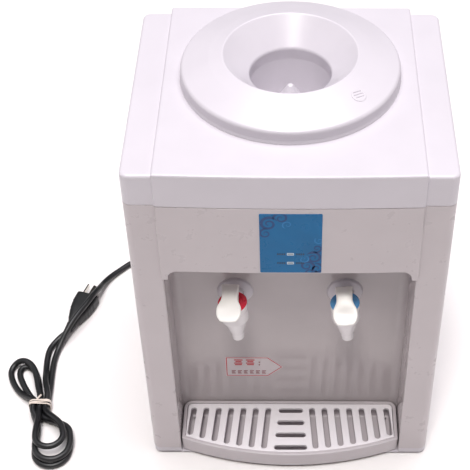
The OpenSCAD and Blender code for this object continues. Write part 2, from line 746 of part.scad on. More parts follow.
module stem(x, rise) {
  color("lightgray") leaned(x) at(x, tap_y, 0) {
    translate([0, 0, tap_z - 1.7]) cylinder(r = 9, h = 4);
    translate([0, 0, tap_z]) cylinder(r = 3.2, h = 15);
    translate([0, 0, tap_z + 14]) cylinder(r = 2.2, h = 12.4 + rise);
  }
}
module cross_pin(x, rise, turn) {
  leaned(x) at(x, tap_y, tap_z + 25 + rise) rotate([0, 0, turn])
    translate([-7, 0, 0]) rotate([0, 90, 0]) cylinder(r = 1, h = 14);
}
// A compression spring as a swept helix.
module tap_spring(x) {
  turns_n = 4;
  steps = 12 * turns_n;
  z0 = tap_z + 3.1;
  z1 = barrel_top - 3.5;
  color("silver") leaned(x) swept([for (i = [0 : steps]) let (a = 30 * i)
    [x + 6.2 * cos(a), tap_y + 6.2 * sin(a),
     z0 + (z1 - z0) * i / steps]], 0.7, 0, 6);
}
module hot_tap_body() { tap_body(-tap_x); }
module cold_tap_body() { tap_body(tap_x); }
module hot_bonnet() { bonnet(-tap_x, hot_rise, -hot_turn, "crimson"); }
module cold_bonnet() { bonnet(tap_x, 0, 0, "steelblue"); }
module hot_lever() { lever(-tap_x, hot_rise, -hot_turn, hot_tilt); }
module cold_lever() { lever(tap_x, 0, 0, lever_tilt); }
module hot_stem() {
  stem(-tap_x, hot_rise);
  cross_pin(-tap_x, hot_rise, -hot_turn);
}
module cold_stem() {
  stem(tap_x, 0);
  cross_pin(tap_x, 0, 0);
}
module hot_spring() { tap_spring(-tap_x); }
module cold_spring() { tap_spring(tap_x); }

// ---- Cord ----
module cord_gland() {
  color("black") along_y(gland_x, 0, gland_z) {
    translate([0, 0, body_d - 8]) cylinder(r = 6.3, h = 9);
    translate([0, 0, body_d + 0.02]) cylinder(r = 9, h = 2);
    translate([0, 0, body_d + 2]) cylinder(r1 = 6.5, r2 = 4.6, h = 28);
  }
}
module cord_lead() { color("black") swept(cord_route, cord_d / 2); }
module plug_lead() { color("black") swept(plug_route, cord_d / 2); }
// One loop bundle: a disc of each end's radius, drawn together.
module lobe(x0, y0, r0, x1, y1, r1, h) {
  hull() {
    at(x0, y0, 0) cylinder(r = r0, h = h, $fn = 32);
    at(x1, y1, 0) cylinder(r = r1, h = h, $fn = 32);
  }
}
module cord_hank() {
  color("black") {
    lobe(-283, 44, 11, -265, -2, 22.5, 21.2);
    lobe(-297, 79, 8, -309, 103, 21.5, 14.2);
    block(tie_x - 11, tie_x + 11, 50, 69.9, 2, 16.2);
    block(tie_x - 18, tie_x - 3.8, 66, 76, 2, 9);
  }
}
module cord_tie() {
  color("tan") at(tie_x, tie_y - 5, 0) difference() {
    translate([-13, -3, 0.2]) cube([26, 6, 18]);
    translate([-11.2, -4, 1.9]) cube([22.4, 8, 14.5]);
  }
}
// The plug lies flat. Its own X axis runs from the boot to the pins.
module at_plug() {
  at(plug_x, plug_y, plug_z) rotate([0, 0, 90 + plug_angle]) children();
}
module plug_body() {
  color("black") at_plug() {
    hull() {
      translate([-3, 0, 0]) cube([6, 28, 16], center = true);
      translate([-26, 0, 0]) cube([8, 24, 16.6], center = true);
      translate([-44, 0, 0]) cube([4, 14, 13], center = true);
    }
    translate([-plug_len, 0, 0]) rotate([0, 90, 0])
      cylinder(r1 = 4.6, r2 = 6.4, h = 14);
  }
}
module plug_pins() {
  color("silver") at_plug() {
    translate([0.02, 8, 0]) translate([0, -0.8, -3.2]) cube([19, 1.6, 6.4]);
    for (s = [-1, 1]) translate([0.02, -4, 3.6 * s]) rotate([s * 30, 0, 0])
      translate([0, -3.2, -0.8]) cube([17, 6.4, 1.6]);
  }
}

base_pan();
rubber_feet();
front_frame();
side_panel_left();
side_panel_right();
back_panel();
back_screws();
top_cover();
front_fascia();
bay_liner();
label_plate();
indicator_lenses();
indicator_board();
notice_sticker();
drip_tray();
drip_grid();
bottle_seat();
bottle_probe();
air_filter_cap();
seat_gasket();
cold_tank();
cold_tank_jacket();
cold_block();
peltier_module();
heat_sink();
fan_frame();
fan_rotor();
hot_tank();
hot_tank_jacket();
heating_element();
thermostats();
feed_hose();
hot_hose();
cold_hose();
drain_tube();
drain_cap();
power_board();
switch_bezels();
hot_rocker();
cold_rocker();
wall_rings();
tap_nuts();
lever_pins();
hot_tap_body();
hot_bonnet();
hot_lever();
hot_stem();
hot_spring();
cold_tap_body();
cold_bonnet();
cold_lever();
cold_stem();
cold_spring();
cord_gland();
cord_lead();
cord_hank();
cord_tie();
plug_lead();
plug_body();
plug_pins();
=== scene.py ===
"""Looks of a countertop water dispenser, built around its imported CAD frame.

Lengths are millimetres in the part's own frame until a piece is written as a mesh.
A depth is measured back from the front plane of the two pillars.
"""

import logging
import math
from dataclasses import dataclass, field
from enum import Enum
from typing import Callable, Optional, Sequence

import bmesh
import bpy
import numpy as np
from mathutils import Matrix, Vector
from mathutils.geometry import delaunay_2d_cdt

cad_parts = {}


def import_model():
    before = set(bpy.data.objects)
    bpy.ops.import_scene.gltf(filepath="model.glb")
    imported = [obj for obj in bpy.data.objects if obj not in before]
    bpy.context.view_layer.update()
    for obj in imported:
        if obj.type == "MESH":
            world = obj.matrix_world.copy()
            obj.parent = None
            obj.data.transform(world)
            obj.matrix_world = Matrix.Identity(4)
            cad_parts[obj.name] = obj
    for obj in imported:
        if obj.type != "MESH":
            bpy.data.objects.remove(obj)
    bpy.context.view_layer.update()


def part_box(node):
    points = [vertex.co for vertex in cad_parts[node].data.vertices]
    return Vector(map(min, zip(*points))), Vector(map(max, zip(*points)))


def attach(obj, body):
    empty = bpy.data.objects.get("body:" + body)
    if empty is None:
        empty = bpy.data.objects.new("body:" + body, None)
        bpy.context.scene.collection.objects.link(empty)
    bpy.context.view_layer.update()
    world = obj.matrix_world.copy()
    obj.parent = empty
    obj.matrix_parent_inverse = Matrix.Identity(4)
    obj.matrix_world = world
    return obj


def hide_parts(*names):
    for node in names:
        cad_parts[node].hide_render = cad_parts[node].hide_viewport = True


LOG = logging.getLogger("dispenser")
Array = np.ndarray
Place = Callable[[Array], Array]
MM = 0.001
WELD_MM = 2e-4

# Places that several pieces share, in millimetres.
BODY_DEPTH = 250.0
GLAND_XZ = (-105.0, 40.0)
DRAIN_XZ = (-62.0, 30.0)
SWITCH_X = (92.0, 114.0)
SWITCH_Z = 330.0
BAY_DEPTH = 55.0
SEAT_DEPTH = 144.0
SCREW_X = 128.0
SCREW_Z = (22.0, 190.0, 362.0)
FOOT_DEPTHS = (20.0, 232.0)


# ---------------------------------------------------------------- outlines
def rounded(corners: Sequence[Sequence[float]], radius: float | Sequence[float],
            steps: int = 6, closed: bool = True) -> Array:
    """Replace each corner of a path by an arc that is tangent to both its sides.

    Args:
        corners: the path's corners, in order.
        radius: one radius for every corner, or one for each.
        steps: segments in each arc.
        closed: whether the last corner joins the first.

    Returns:
        The path's points, one row each.
    """
    pts = np.asarray(corners, float)
    radii = np.broadcast_to(np.asarray(radius, float), len(pts))
    out = []
    for i, (p, r) in enumerate(zip(pts, radii)):
        ends = not closed and i in (0, len(pts) - 1)
        a, b = pts[i - 1] - p, pts[(i + 1) % len(pts)] - p
        la, lb = np.linalg.norm(a), np.linalg.norm(b)
        if ends or r <= 0 or min(la, lb) < 1e-9:
            out.append(p[None])
            continue
        a, b = a / la, b / lb
        half = math.acos(float(np.clip(a @ b, -1, 1))) / 2
        if half > math.pi / 2 - 0.01:
            out.append(p[None])
            continue
        near = [r / (r + radii[k % len(pts)]) for k in (i - 1, i + 1)]
        reach = min(r / math.tan(half), 0.98 * near[0] * la, 0.98 * near[1] * lb)
        r = reach * math.tan(half)
        centre = p + (a + b) / np.linalg.norm(a + b) * r / math.sin(half)
        s, e = p + a * reach - centre, p + b * reach - centre
        t0 = math.atan2(s[1], s[0])
        sweep = (math.atan2(e[1], e[0]) - t0 + math.pi) % (2 * math.pi) - math.pi
        t = t0 + sweep * np.linspace(0, 1, steps + 1)
        out.append(centre + r * np.stack([np.cos(t), np.sin(t)], 1))
    return np.concatenate(out)


def box_loop(x0: float, y0: float, x1: float, y1: float, radius: float,
             steps: int = 6) -> Array:
    """Rectangle with rounded corners, anticlockwise."""
    return rounded([(x0, y0), (x1, y0), (x1, y1), (x0, y1)], radius, steps)


def slot_loop(start: Sequence[float], end: Sequence[float], width: float,
              steps: int = 8) -> Array:
    """Slot with round ends between two centres, clockwise, as a hole runs."""
    a, b = np.asarray(start, float), np.asarray(end, float)
    along = math.atan2(*(b - a)[::-1])
    t = np.linspace(math.pi / 2, -math.pi / 2, steps + 1)
    cap = lambda c, turn: c + width / 2 * np.stack(
        [np.cos(t + along + turn), np.sin(t + along + turn)], 1)
    return np.concatenate([cap(b, 0), cap(a, math.pi)])


def shut(section: Array) -> Array:
    """Section that ends on its first point."""
    return np.concatenate([section, section[:1]])


def circle_loop(x: float, y: float, radius: float, count: int = 48,
                hole: bool = True) -> Array:
    """Circle; clockwise when it is a hole."""
    t = np.linspace(0, 2 * math.pi, count, endpoint=False) * (-1 if hole else 1)
    return np.stack([x + radius * np.cos(t), y + radius * np.sin(t)], 1)


def outward(loop: Array) -> Array:
    """Mitred direction at each point of a closed loop, to the right of its travel.

    The sum of the two unit normals is divided by one plus their product, so that
    moving every point along it keeps the sides parallel.
    """
    edge = np.roll(loop, -1, 0) - loop
    n = np.stack([edge[:, 1], -edge[:, 0]], 1)
    n /= np.maximum(np.linalg.norm(n, axis=1, keepdims=True), 1e-9)
    m = np.roll(n, 1, 0)
    return (n + m) / np.maximum(1 + (n * m).sum(1, keepdims=True), 0.3)


def edge_rounds(low: float, high: float, low_r: float, high_r: float,
                steps: int = 4) -> Array:
    """Section of a slab's edge, as rows of inset and height.

    A quarter circle at the bottom, the straight side, and one at the top.
    """
    t = np.linspace(0, math.pi / 2, steps + 1)
    foot = np.stack([low_r * (1 - np.sin(t)), low + low_r * (1 - np.cos(t))], 1)
    head = np.stack([high_r * (1 - np.cos(t)), high - high_r * (1 - np.sin(t))], 1)
    return np.concatenate([foot, head])


def inside(points: Array, loops: Sequence[Array]) -> Array:
    """Even-odd test of points against closed loops, by counting crossed sides."""
    a = np.concatenate(loops)
    b = np.concatenate([np.roll(l, -1, 0) for l in loops])
    px, py = points[:, 0, None], points[:, 1, None]
    over = (a[:, 1] > py) != (b[:, 1] > py)
    rise = np.where(b[:, 1] == a[:, 1], 1, b[:, 1] - a[:, 1])
    cross = px < a[:, 0] + (py - a[:, 1]) * (b[:, 0] - a[:, 0]) / rise
    return (over & cross).sum(1) % 2 == 1


def flat_fill(loops: Sequence[Array], spacing: float = 0) -> tuple[Array, Array]:
    """Triangles over an outline with holes.

    Args:
        loops: the outline and its holes.
        spacing: distance of the lattice of inner points; 0 adds none.

    Returns:
        The points and the triangles' indices.
    """
    pts = np.concatenate(loops)
    starts = np.cumsum([0] + [len(l) for l in loops])
    edges = [e for s, l in zip(starts, loops)
             for e in zip(range(s, s + len(l)), [*range(s + 1, s + len(l)), s])]
    if spacing:
        lo, hi = pts.min(0), pts.max(0)
        gx, gy = (np.arange(l + spacing / 2, h, spacing) for l, h in zip(lo, hi))
        inner = np.stack(np.meshgrid(gx, gy), -1).reshape(-1, 2)
        inner = inner[inside(inner, loops)]
        if len(inner):
            near = np.array([np.abs(pts - q).max(1).min() for q in inner])
            pts = np.concatenate([pts, inner[near > spacing * 0.25]])
    v, _, f, *_ = delaunay_2d_cdt([Vector(p) for p in pts], [tuple(map(int, e)) for e in edges],
                                  [], 0, 1e-7)
    v, f = np.array([tuple(p) for p in v]), np.array([t for t in f if len(t) == 3])
    return v, f[inside(v[f].mean(1), loops)]


# ---------------------------------------------------------------- meshes
def as_is(p: Array) -> Array:
    """Leave points where they are."""
    return p


@dataclass
class Builder:
    """Collects surfaces worked out as arrays and writes them as one welded mesh."""

    verts: list[Array] = field(default_factory=list)
    quads: list[Array] = field(default_factory=list)
    tris: list[Array] = field(default_factory=list)
    count: int = 0

    def grid(self, p: Array, around: bool = True, ring: bool = False) -> "Builder":
        """Add a surface given as rows and columns of points.

        Args:
            p: points, shaped rows by columns by 3.
            around: whether the last column joins the first.
            ring: whether the last row joins the first.

        Returns:
            The builder.
        """
        rows, cols = p.shape[:2]
        i = np.arange(rows * cols).reshape(rows, cols) + self.count
        if around:
            i = np.concatenate([i, i[:, :1]], 1)
        if ring:
            i = np.concatenate([i, i[:1]], 0)
        q = np.stack([i[:-1, :-1], i[:-1, 1:], i[1:, 1:], i[1:, :-1]], -1)
        self.verts.append(p.reshape(-1, 3))
        self.quads.append(q.reshape(-1, 4))
        self.count += rows * cols
        return self

    def patch(self, p: Array, tris: Array) -> "Builder":
        """Add triangles over points."""
        self.verts.append(p)
        self.tris.append(np.asarray(tris) + self.count)
        self.count += len(p)
        return self

    def slab(self, loops: Sequence[Array], sections: Sequence[Array] | Array,
             place: Place = as_is, spacing: float = 0) -> "Builder":
        """Add a closed plate with holes, whose edges follow given sections.

        Each loop is moved inwards by the section's inset at the section's height,
        which gives a band; the first and the last rows are closed by triangles.

        Args:
            loops: the outline, anticlockwise, then holes, clockwise.
            sections: rows of inset and height, one array for all loops or one each.
            place: carries the flat points to their place.
            spacing: lattice of inner points, for a plate that is bent.

        Returns:
            The builder.
        """
        if isinstance(sections, np.ndarray):
            sections = [sections] * len(loops)
        ends: tuple[list, list] = ([], [])
        for loop, sec in zip(loops, sections):
            m = outward(loop)
            xy = loop[None] - m[None] * sec[:, 0, None, None]
            z = np.broadcast_to(sec[:, 1, None, None], (*xy.shape[:2], 1))
            self.grid(place(np.concatenate([xy, z], 2)))
            ends[0].append(xy[0])
            ends[1].append(xy[-1])
        for cap, z in zip(ends, (sections[0][0, 1], sections[0][-1, 1])):
            v, f = flat_fill(cap, spacing)
            self.patch(place(np.column_stack([v, np.full(len(v), z)])), f)
        return self

    def turned(self, section: Array, centre: Sequence[float] = (0, 0),
               count: int = 96, place: Place = as_is) -> "Builder":
        """Add a surface of revolution about an upright axis.

        Args:
            section: rows of radius and height.
            centre: the axis's place.
            count: segments round the axis.
            place: carries the points to their place.

        Returns:
            The builder.
        """
        t = np.linspace(0, 2 * math.pi, count, endpoint=False)
        r, z = section[:, :1], section[:, 1:]
        p = np.stack([centre[0] + r * np.cos(t), centre[1] + r * np.sin(t),
                      z + 0 * t], -1)
        return self.grid(place(p))

    def tube(self, path: Array, radius: float, count: int = 16) -> "Builder":
        """Add a closed round tube along a path.

        Args:
            path: centre points.
            radius: the tube's radius.
            count: sides.

        Returns:
            The builder.
        """
        side, up = carried_axes(path)
        t = np.linspace(0, 2 * math.pi, count, endpoint=False)
        ring = (np.cos(t)[None, :, None] * side[:, None]
                + np.sin(t)[None, :, None] * up[:, None])
        p = path[:, None] + radius * ring
        caps = [np.repeat(path[i][None, None], count, 1) for i in (0, -1)]
        return self.grid(np.concatenate([caps[0], p, caps[1]]))

    def mesh(self, name: str, sharp: float = 40) -> bpy.types.Mesh:
        """Weld the doubles, turn the faces outwards and write the mesh.

        Args:
            name: the mesh's name.
            sharp: angle in degrees over which an edge is shaded sharp.

        Returns:
            The mesh, in metres.
        """
        v = np.concatenate(self.verts)
        _, keep, back = np.unique(np.round(v / WELD_MM).astype(np.int64), axis=0,
                                  return_index=True, return_inverse=True)
        back = back.reshape(-1)
        faces: list = []
        for block in [*self.quads, *self.tris]:
            f = back[block]
            size = f.shape[1]
            shut = f == np.roll(f, -1, 1)
            faces += f[~shut.any(1)].tolist()
            if size == 4:
                part, hit = f[shut.sum(1) == 1], shut[shut.sum(1) == 1]
                faces += part[~hit].reshape(-1, 3).tolist()
        mesh = bpy.data.meshes.new(name)
        mesh.from_pydata((v[keep] * MM).tolist(), [], faces)
        bm = bmesh.new()
        bm.from_mesh(mesh)
        bmesh.ops.recalc_face_normals(bm, faces=bm.faces)
        bm.to_mesh(mesh)
        bm.free()
        mesh.polygons.foreach_set("use_smooth", [True] * len(mesh.polygons))
        mesh.set_sharp_from_angle(angle=math.radians(sharp))
        mesh.update()
        return mesh


def carried_axes(path: Array) -> tuple[Array, Array]:
    """Two axes square to a path, carried along it without twist.

    Each step projects the previous side axis off the new direction, which is a
    recurrence over the path's few hundred points and not over mesh vertices.
    """
    d = np.gradient(path, axis=0)
    d /= np.linalg.norm(d, axis=1, keepdims=True)
    side = np.empty_like(path)
    s = np.cross(d[0], (0.0, 0.0, 1.0))
    s = s if np.linalg.norm(s) > 0.1 else np.cross(d[0], (0.0, 1.0, 0.0))
    for i, t in enumerate(d):
        s = s - (s @ t) * t
        s = s / np.linalg.norm(s)
        side[i] = s
    return side, np.cross(d, side)


def smooth_path(knots: Sequence[Sequence[float]], step: float = 2.5) -> Array:
    """Even points along a centripetal Catmull-Rom curve through the knots."""
    k = np.asarray(knots, float)
    k = np.concatenate([2 * k[:1] - k[1:2], k, 2 * k[-1:] - k[-2:-1]])
    t = np.concatenate([[0], np.cumsum(np.linalg.norm(np.diff(k, axis=0), axis=1) ** 0.5)])
    fine = []
    for i in range(1, len(k) - 2):
        u = np.linspace(t[i], t[i + 1], 24, endpoint=False)[:, None]
        lerp = lambda p, q, a, b: ((b - u) * p + (u - a) * q) / (b - a)
        a1, a2, a3 = (lerp(k[i + j - 1], k[i + j], t[i + j - 1], t[i + j]) for j in (0, 1, 2))
        b1, b2 = lerp(a1, a2, t[i - 1], t[i + 1]), lerp(a2, a3, t[i], t[i + 2])
        fine.append(lerp(b1, b2, t[i], t[i + 1]))
    p = np.concatenate([*fine, k[-2:-1]])
    s = np.concatenate([[0], np.cumsum(np.linalg.norm(np.diff(p, axis=0), axis=1))])
    even = np.linspace(0, s[-1], max(2, int(s[-1] / step) + 1))
    return np.stack([np.interp(even, s, p[:, i]) for i in range(3)], 1)


def tilted(origin: Sequence[float], x: float = 0, y: float = 0, z: float = 0) -> Place:
    """Turn points about X, then Y, then Z, in degrees, and carry them to a place."""
    m = np.array(Matrix.Rotation(math.radians(z), 3, "Z")
                 @ Matrix.Rotation(math.radians(y), 3, "Y")
                 @ Matrix.Rotation(math.radians(x), 3, "X"))
    o = np.asarray(origin, float)
    return lambda p: p @ m.T + o


def facing_back(origin: Sequence[float]) -> Place:
    """Points drawn upright, x to the right and y up, with height towards the back."""
    o = np.asarray(origin, float)
    return lambda p: np.stack([p[..., 0], p[..., 2], p[..., 1]], -1) + o


def facing_right(origin: Sequence[float]) -> Place:
    """Points drawn on an upright side: x is depth, y is up, height is towards +X."""
    o = np.asarray(origin, float)
    return lambda p: np.stack([p[..., 2], p[..., 0], p[..., 1]], -1) + o


# ---------------------------------------------------------------- materials
def linear(hexa: str) -> tuple[float, float, float, float]:
    """Linear RGBA of an sRGB hex colour."""
    c = np.array([int(hexa[i:i + 2], 16) for i in (1, 3, 5)]) / 255
    c = np.where(c <= 0.04045, c / 12.92, ((c + 0.055) / 1.055) ** 2.4)
    return (*map(float, c), 1.0)


def add_node(tree: bpy.types.NodeTree, kind: str, settings: Optional[dict] = None,
             **inputs: object) -> bpy.types.Node:
    """Add a node, with its settings, and fill or link its inputs.

    Args:
        tree: the material's node tree.
        kind: the node's type name without its ShaderNode prefix.
        settings: attributes of the node.
        **inputs: a value, or an output socket to link, for each input. An
            underscore in a name stands for a space, and iN is the Nth input.

    Returns:
        The node.
    """
    node = tree.nodes.new("ShaderNode" + kind)
    for key, value in (settings or {}).items():
        setattr(node, key, value)
    for key, value in inputs.items():
        place = int(key[1:]) if key[0] == "i" and key[1:].isdigit() else key.replace("_", " ")
        socket = node.inputs[place]
        if isinstance(value, bpy.types.NodeSocket):
            tree.links.new(value, socket)
        else:
            socket.default_value = value
    return node


class Surface(Enum):
    """How a material's surface was made."""

    MOULDED = "moulded"
    TEXTURED = "textured"
    BRUSHED = "brushed"
    FOAMED = "foamed"
    WOVEN = "paper"


@dataclass(frozen=True)
class Finish:
    """A real material and how its surface was made.

    The colour drifts between two close hex tints, the roughness drifts about its
    value, and a bump of the given grain and height breaks the highlight.
    """

    name: str
    tint: str
    shade: str
    rough: float
    surface: Surface = Surface.MOULDED
    rough_drift: float = 0.06
    grain_mm: float = 0.9
    relief_mm: float = 0.012
    drift_mm: float = 45.0
    ior: float = 1.5
    metal: float = 0.0
    coat: float = 0.0
    see_through: float = 0.0
    specks: float = 0.0
    edge: float = 0.0
    stretch: tuple[float, float, float] = (1.0, 1.0, 1.0)

    def material(self) -> bpy.types.Material:
        """Make the material, or return it if it is there already."""
        mat = bpy.data.materials.get(self.name)
        if mat:
            return mat
        mat = bpy.data.materials.new(self.name)
        mat.use_nodes = True
        tree = mat.node_tree
        shader = tree.nodes["Principled BSDF"]
        place = add_node(tree, "TexCoord").outputs["Object"]
        run = add_node(tree, "Mapping", Vector=place, Scale=self.stretch).outputs[0]
        per_m = lambda mm: 1.0 / (mm * MM)
        drift = add_node(tree, "TexNoise", Vector=place, Scale=per_m(self.drift_mm),
                         Detail=3.0, Roughness=0.55).outputs["Fac"]
        grain = add_node(tree, "TexNoise", Vector=run, Scale=per_m(self.grain_mm),
                         Detail=2.0, Roughness=0.5).outputs["Fac"]
        if self.surface is Surface.FOAMED:
            cell = add_node(tree, "TexVoronoi", Vector=place, Scale=per_m(self.grain_mm))
            grain = cell.outputs["Distance"]
        fac = add_node(tree, "MapRange", None, Value=drift, From_Min=0.3, From_Max=0.7)
        colour = add_node(tree, "Mix", {"data_type": "RGBA"}, i0=fac.outputs[0],
                          i6=linear(self.tint), i7=linear(self.shade)).outputs[2]
        if self.specks:
            spot = add_node(tree, "TexVoronoi", Vector=place, Scale=per_m(9.0)).outputs["Distance"]
            dot = add_node(tree, "MapRange", None, Value=spot, From_Min=0.035,
                           From_Max=0.02, To_Max=self.specks).outputs[0]
            dark = tuple(0.55 * c for c in linear(self.shade)[:3]) + (1.0,)
            colour = add_node(tree, "Mix", {"data_type": "RGBA"}, i0=dot, i6=colour,
                              i7=dark).outputs[2]
        if self.edge:
            point = add_node(tree, "NewGeometry").outputs["Pointiness"]
            rim = add_node(tree, "MapRange", None, Value=point, From_Min=0.52,
                           From_Max=0.62, To_Max=self.edge).outputs[0]
            worn = tuple(min(1.0, 1.25 * c + 0.02) for c in linear(self.tint)[:3]) + (1.0,)
            colour = add_node(tree, "Mix", {"data_type": "RGBA"}, i0=rim, i6=colour,
                              i7=worn).outputs[2]
        smear = add_node(tree, "TexNoise", Vector=place, Scale=per_m(14.0), Detail=4.0,
                         Roughness=0.65).outputs["Fac"]
        rough = add_node(tree, "MapRange", None, Value=smear, From_Min=0.25, From_Max=0.75,
                         To_Min=max(0.02, self.rough - self.rough_drift),
                         To_Max=self.rough + self.rough_drift).outputs[0]
        bump = add_node(tree, "Bump", None, Height=grain, Strength=1.0,
                        Distance=self.relief_mm * MM).outputs[0]
        tree.links.new(colour, shader.inputs["Base Color"])
        tree.links.new(rough, shader.inputs["Roughness"])
        tree.links.new(bump, shader.inputs["Normal"])
        shader.inputs["Metallic"].default_value = self.metal
        if not self.metal:
            shader.inputs["IOR"].default_value = self.ior
        shader.inputs["Coat Weight"].default_value = self.coat
        shader.inputs["Coat Roughness"].default_value = 0.12
        shader.inputs["Transmission Weight"].default_value = self.see_through
        if self.surface is Surface.WOVEN:
            shader.inputs["Sheen Weight"].default_value = 0.3
        return mat


# Moulded ABS, satin: broad soft highlights with a faint orange peel.
ABS_WHITE = Finish("moulded_abs_white", "#CCC7CE", "#C9C4CB", 0.34, rough_drift=0.05,
                   grain_mm=1.4, relief_mm=0.010, ior=1.53, specks=0.25)
# The front's mouldings take the same ABS a shade greyer and warmer: painted shade, as the upright
# front faces lie in shade under the overhead light.
ABS_FRONT_SHADED = Finish("moulded_abs_front_painted_shade", "#C2BABD", "#BFB7BA", 0.3, rough_drift=0.05,
                   grain_mm=1.4, relief_mm=0.010, ior=1.53, specks=0.25)
# The bay's liner comes from a polished tool: it mirrors the grid faintly.
ABS_LINER = Finish("polished_abs_front", "#BDB5B7", "#BAB2B4", 0.1, rough_drift=0.03,
                   grain_mm=2.4, relief_mm=0.003, ior=1.6, specks=0.2)
# The same ABS from a spark-eroded tool: the tray and grid look flatter and finer.
ABS_TRAY = Finish("textured_abs_white", "#C4BDC1", "#C0B9BD", 0.42, Surface.TEXTURED,
                  grain_mm=0.7, relief_mm=0.02, ior=1.53, specks=0.3)
# The grid is moulded apart; its ABS is tinted whiter than the rest as painted light, for the light
# that falls on its upward face: it stands out from the tray.
ABS_GRID_LIT = Finish("textured_abs_painted_light", "#F0ECF0", "#ECE8EC", 0.4, Surface.TEXTURED,
                  grain_mm=0.7, relief_mm=0.02, ior=1.53, specks=0.3)
# ABS with a little cream in it, lightly polished: the levers look bright and soft.
ABS_LEVER = Finish("polished_abs_cream", "#FEFCF9", "#FCFAF6", 0.36, grain_mm=1.6,
                   relief_mm=0.006, ior=1.53, coat=0.08)
# Bright ABS from a polished tool, as the tap bodies have: small sharp highlights.
ABS_GLOSS = Finish("polished_abs_white", "#EEEAEC", "#EBE7E9", 0.2, grain_mm=1.8,
                   relief_mm=0.006, ior=1.53, coat=0.25)
# Acetal, a milky engineering plastic for nuts and stems.
ACETAL = Finish("turned_acetal_natural", "#E2E1DD", "#DAD9D4", 0.4, ior=1.48)
# Polypropylene dyed right through: deep colour under a waxy gloss.
POLY_RED = Finish("moulded_polypropylene_red", "#E2334A", "#D8273F", 0.27, grain_mm=1.2,
                  relief_mm=0.008, ior=1.49, coat=0.25, edge=0.2)
POLY_BLUE = Finish("moulded_polypropylene_blue", "#5FA0D6", "#4E92CC", 0.27, grain_mm=1.2,
                   relief_mm=0.008, ior=1.49, coat=0.25, edge=0.2)
# Powder-coated sheet steel: fine pimples that scatter the highlight.
POWDER_COAT = Finish("powder_coated_steel_white", "#CDC7CE", "#CAC4CB", 0.45,
                     Surface.TEXTURED, grain_mm=0.8, relief_mm=0.035, specks=0.35)
# Galvanised sheet: dull zinc with large soft spangles.
ZINC = Finish("galvanised_sheet", "#C3C6CA", "#AEB2B7", 0.42, drift_mm=9.0,
              grain_mm=0.6, metal=1.0, rough_drift=0.1)
# PVC cable sheath: black, satin, with long flow marks and a little dust.
PVC_BLACK = Finish("extruded_pvc_black", "#17181A", "#101113", 0.42, grain_mm=1.1,
                   relief_mm=0.03, drift_mm=12.0, ior=1.53, edge=0.12)
# The same PVC moulded over the plug, with a fine eroded texture.
PVC_PLUG = Finish("moulded_pvc_black", "#161719", "#0F1012", 0.5, Surface.TEXTURED,
                  grain_mm=0.7, relief_mm=0.05, drift_mm=18.0, ior=1.53, edge=0.25)
# Nickel plate over brass: bright, slightly warm.
NICKEL = Finish("nickel_plated_brass", "#D6D2CA", "#C6C1B8", 0.2, metal=1.0, grain_mm=0.5,
                relief_mm=0.004, stretch=(1.0, 0.15, 1.0))
# Stainless sheet, drawn and brushed round.
STAINLESS = Finish("brushed_stainless", "#C9CACC", "#B9BABD", 0.3, Surface.BRUSHED,
                   metal=1.0, grain_mm=0.5, relief_mm=0.01, stretch=(0.15, 0.15, 3.0))
# Extruded aluminium with fine die lines.
ALUMINIUM = Finish("extruded_aluminium", "#D5D7DA", "#C5C8CC", 0.33, Surface.BRUSHED,
                   metal=1.0, grain_mm=0.5, relief_mm=0.012, stretch=(1.0, 1.0, 0.1))
# Spring wire: drawn steel with a dull grey sheen.
SPRING_WIRE = Finish("drawn_spring_steel", "#A9ABB0", "#9A9CA1", 0.3, metal=1.0)
# Closed-cell foam: cream, open-pored where it was cut.
FOAM = Finish("cut_polyethylene_foam", "#EDE6C8", "#E2D9B4", 0.85, Surface.FOAMED,
              grain_mm=2.2, relief_mm=0.25)
# Silicone tube: cloudy, soft-edged gloss.
SILICONE = Finish("extruded_silicone", "#E4E6E4", "#D8DCDB", 0.42, ior=1.41,
                  see_through=0.25)
# Rubber foot: matt black-grey with bloom.
RUBBER = Finish("moulded_rubber", "#3C3C3F", "#313134", 0.75, grain_mm=0.6, relief_mm=0.03)
# Alumina plates of the thermoelectric module: chalky white.
CERAMIC = Finish("fired_alumina", "#EDEBE4", "#E6E3DA", 0.5, relief_mm=0.01)
# Glass-filled nylon of the fan: black with a grey bloom.
NYLON_BLACK = Finish("glass_filled_nylon", "#1F2023", "#17181A", 0.5, Surface.TEXTURED,
                     grain_mm=0.8, relief_mm=0.03)
# Phenolic resin of the thermostats: near black, with a dry gloss.
PHENOLIC = Finish("moulded_phenolic", "#2B2422", "#211B1A", 0.35)
# Solder resist over copper tracks: dark green and uneven.
BOARD = Finish("solder_resist_green", "#1E5A38", "#174A2D", 0.35, grain_mm=2.5,
               relief_mm=0.03)
# Nylon of the switch housings: black, with a soft shine on its edges.
SWITCH_BLACK = Finish("moulded_nylon_black", "#1B1B1E", "#141416", 0.32)
# Tinted polycarbonate of the rockers: deep colour under a hard gloss.
ROCKER_RED = Finish("moulded_polycarbonate_red", "#B01420", "#9C0F1A", 0.18, coat=0.3)
ROCKER_GREEN = Finish("moulded_polycarbonate_green", "#157A3C", "#0F6931", 0.18, coat=0.3)
# Printed polyester film: flat colour under a soft gloss.
FILM_BLUE = Finish("printed_polyester_blue", "#05699F", "#055F91", 0.3, grain_mm=2.2,
                   relief_mm=0.006, ior=1.34)
FILM_NAVY = Finish("printed_polyester_navy", "#0C4279", "#0A3C70", 0.32, ior=1.42)
FILM_INK = Finish("printed_polyester_ink", "#1C3A58", "#19334F", 0.35, ior=1.42)
FILM_PALE = Finish("printed_polyester_pale", "#C6D3DE", "#BBC9D6", 0.35, ior=1.45)
FILM_SKY = Finish("printed_polyester_sky", "#1C7AB6", "#1874AE", 0.3, ior=1.42)
# Clear polycarbonate windows over the two indicator lamps.
LENS = Finish("clear_polycarbonate", "#DDE6EC", "#D3DEE6", 0.12, ior=1.58, see_through=0.5)
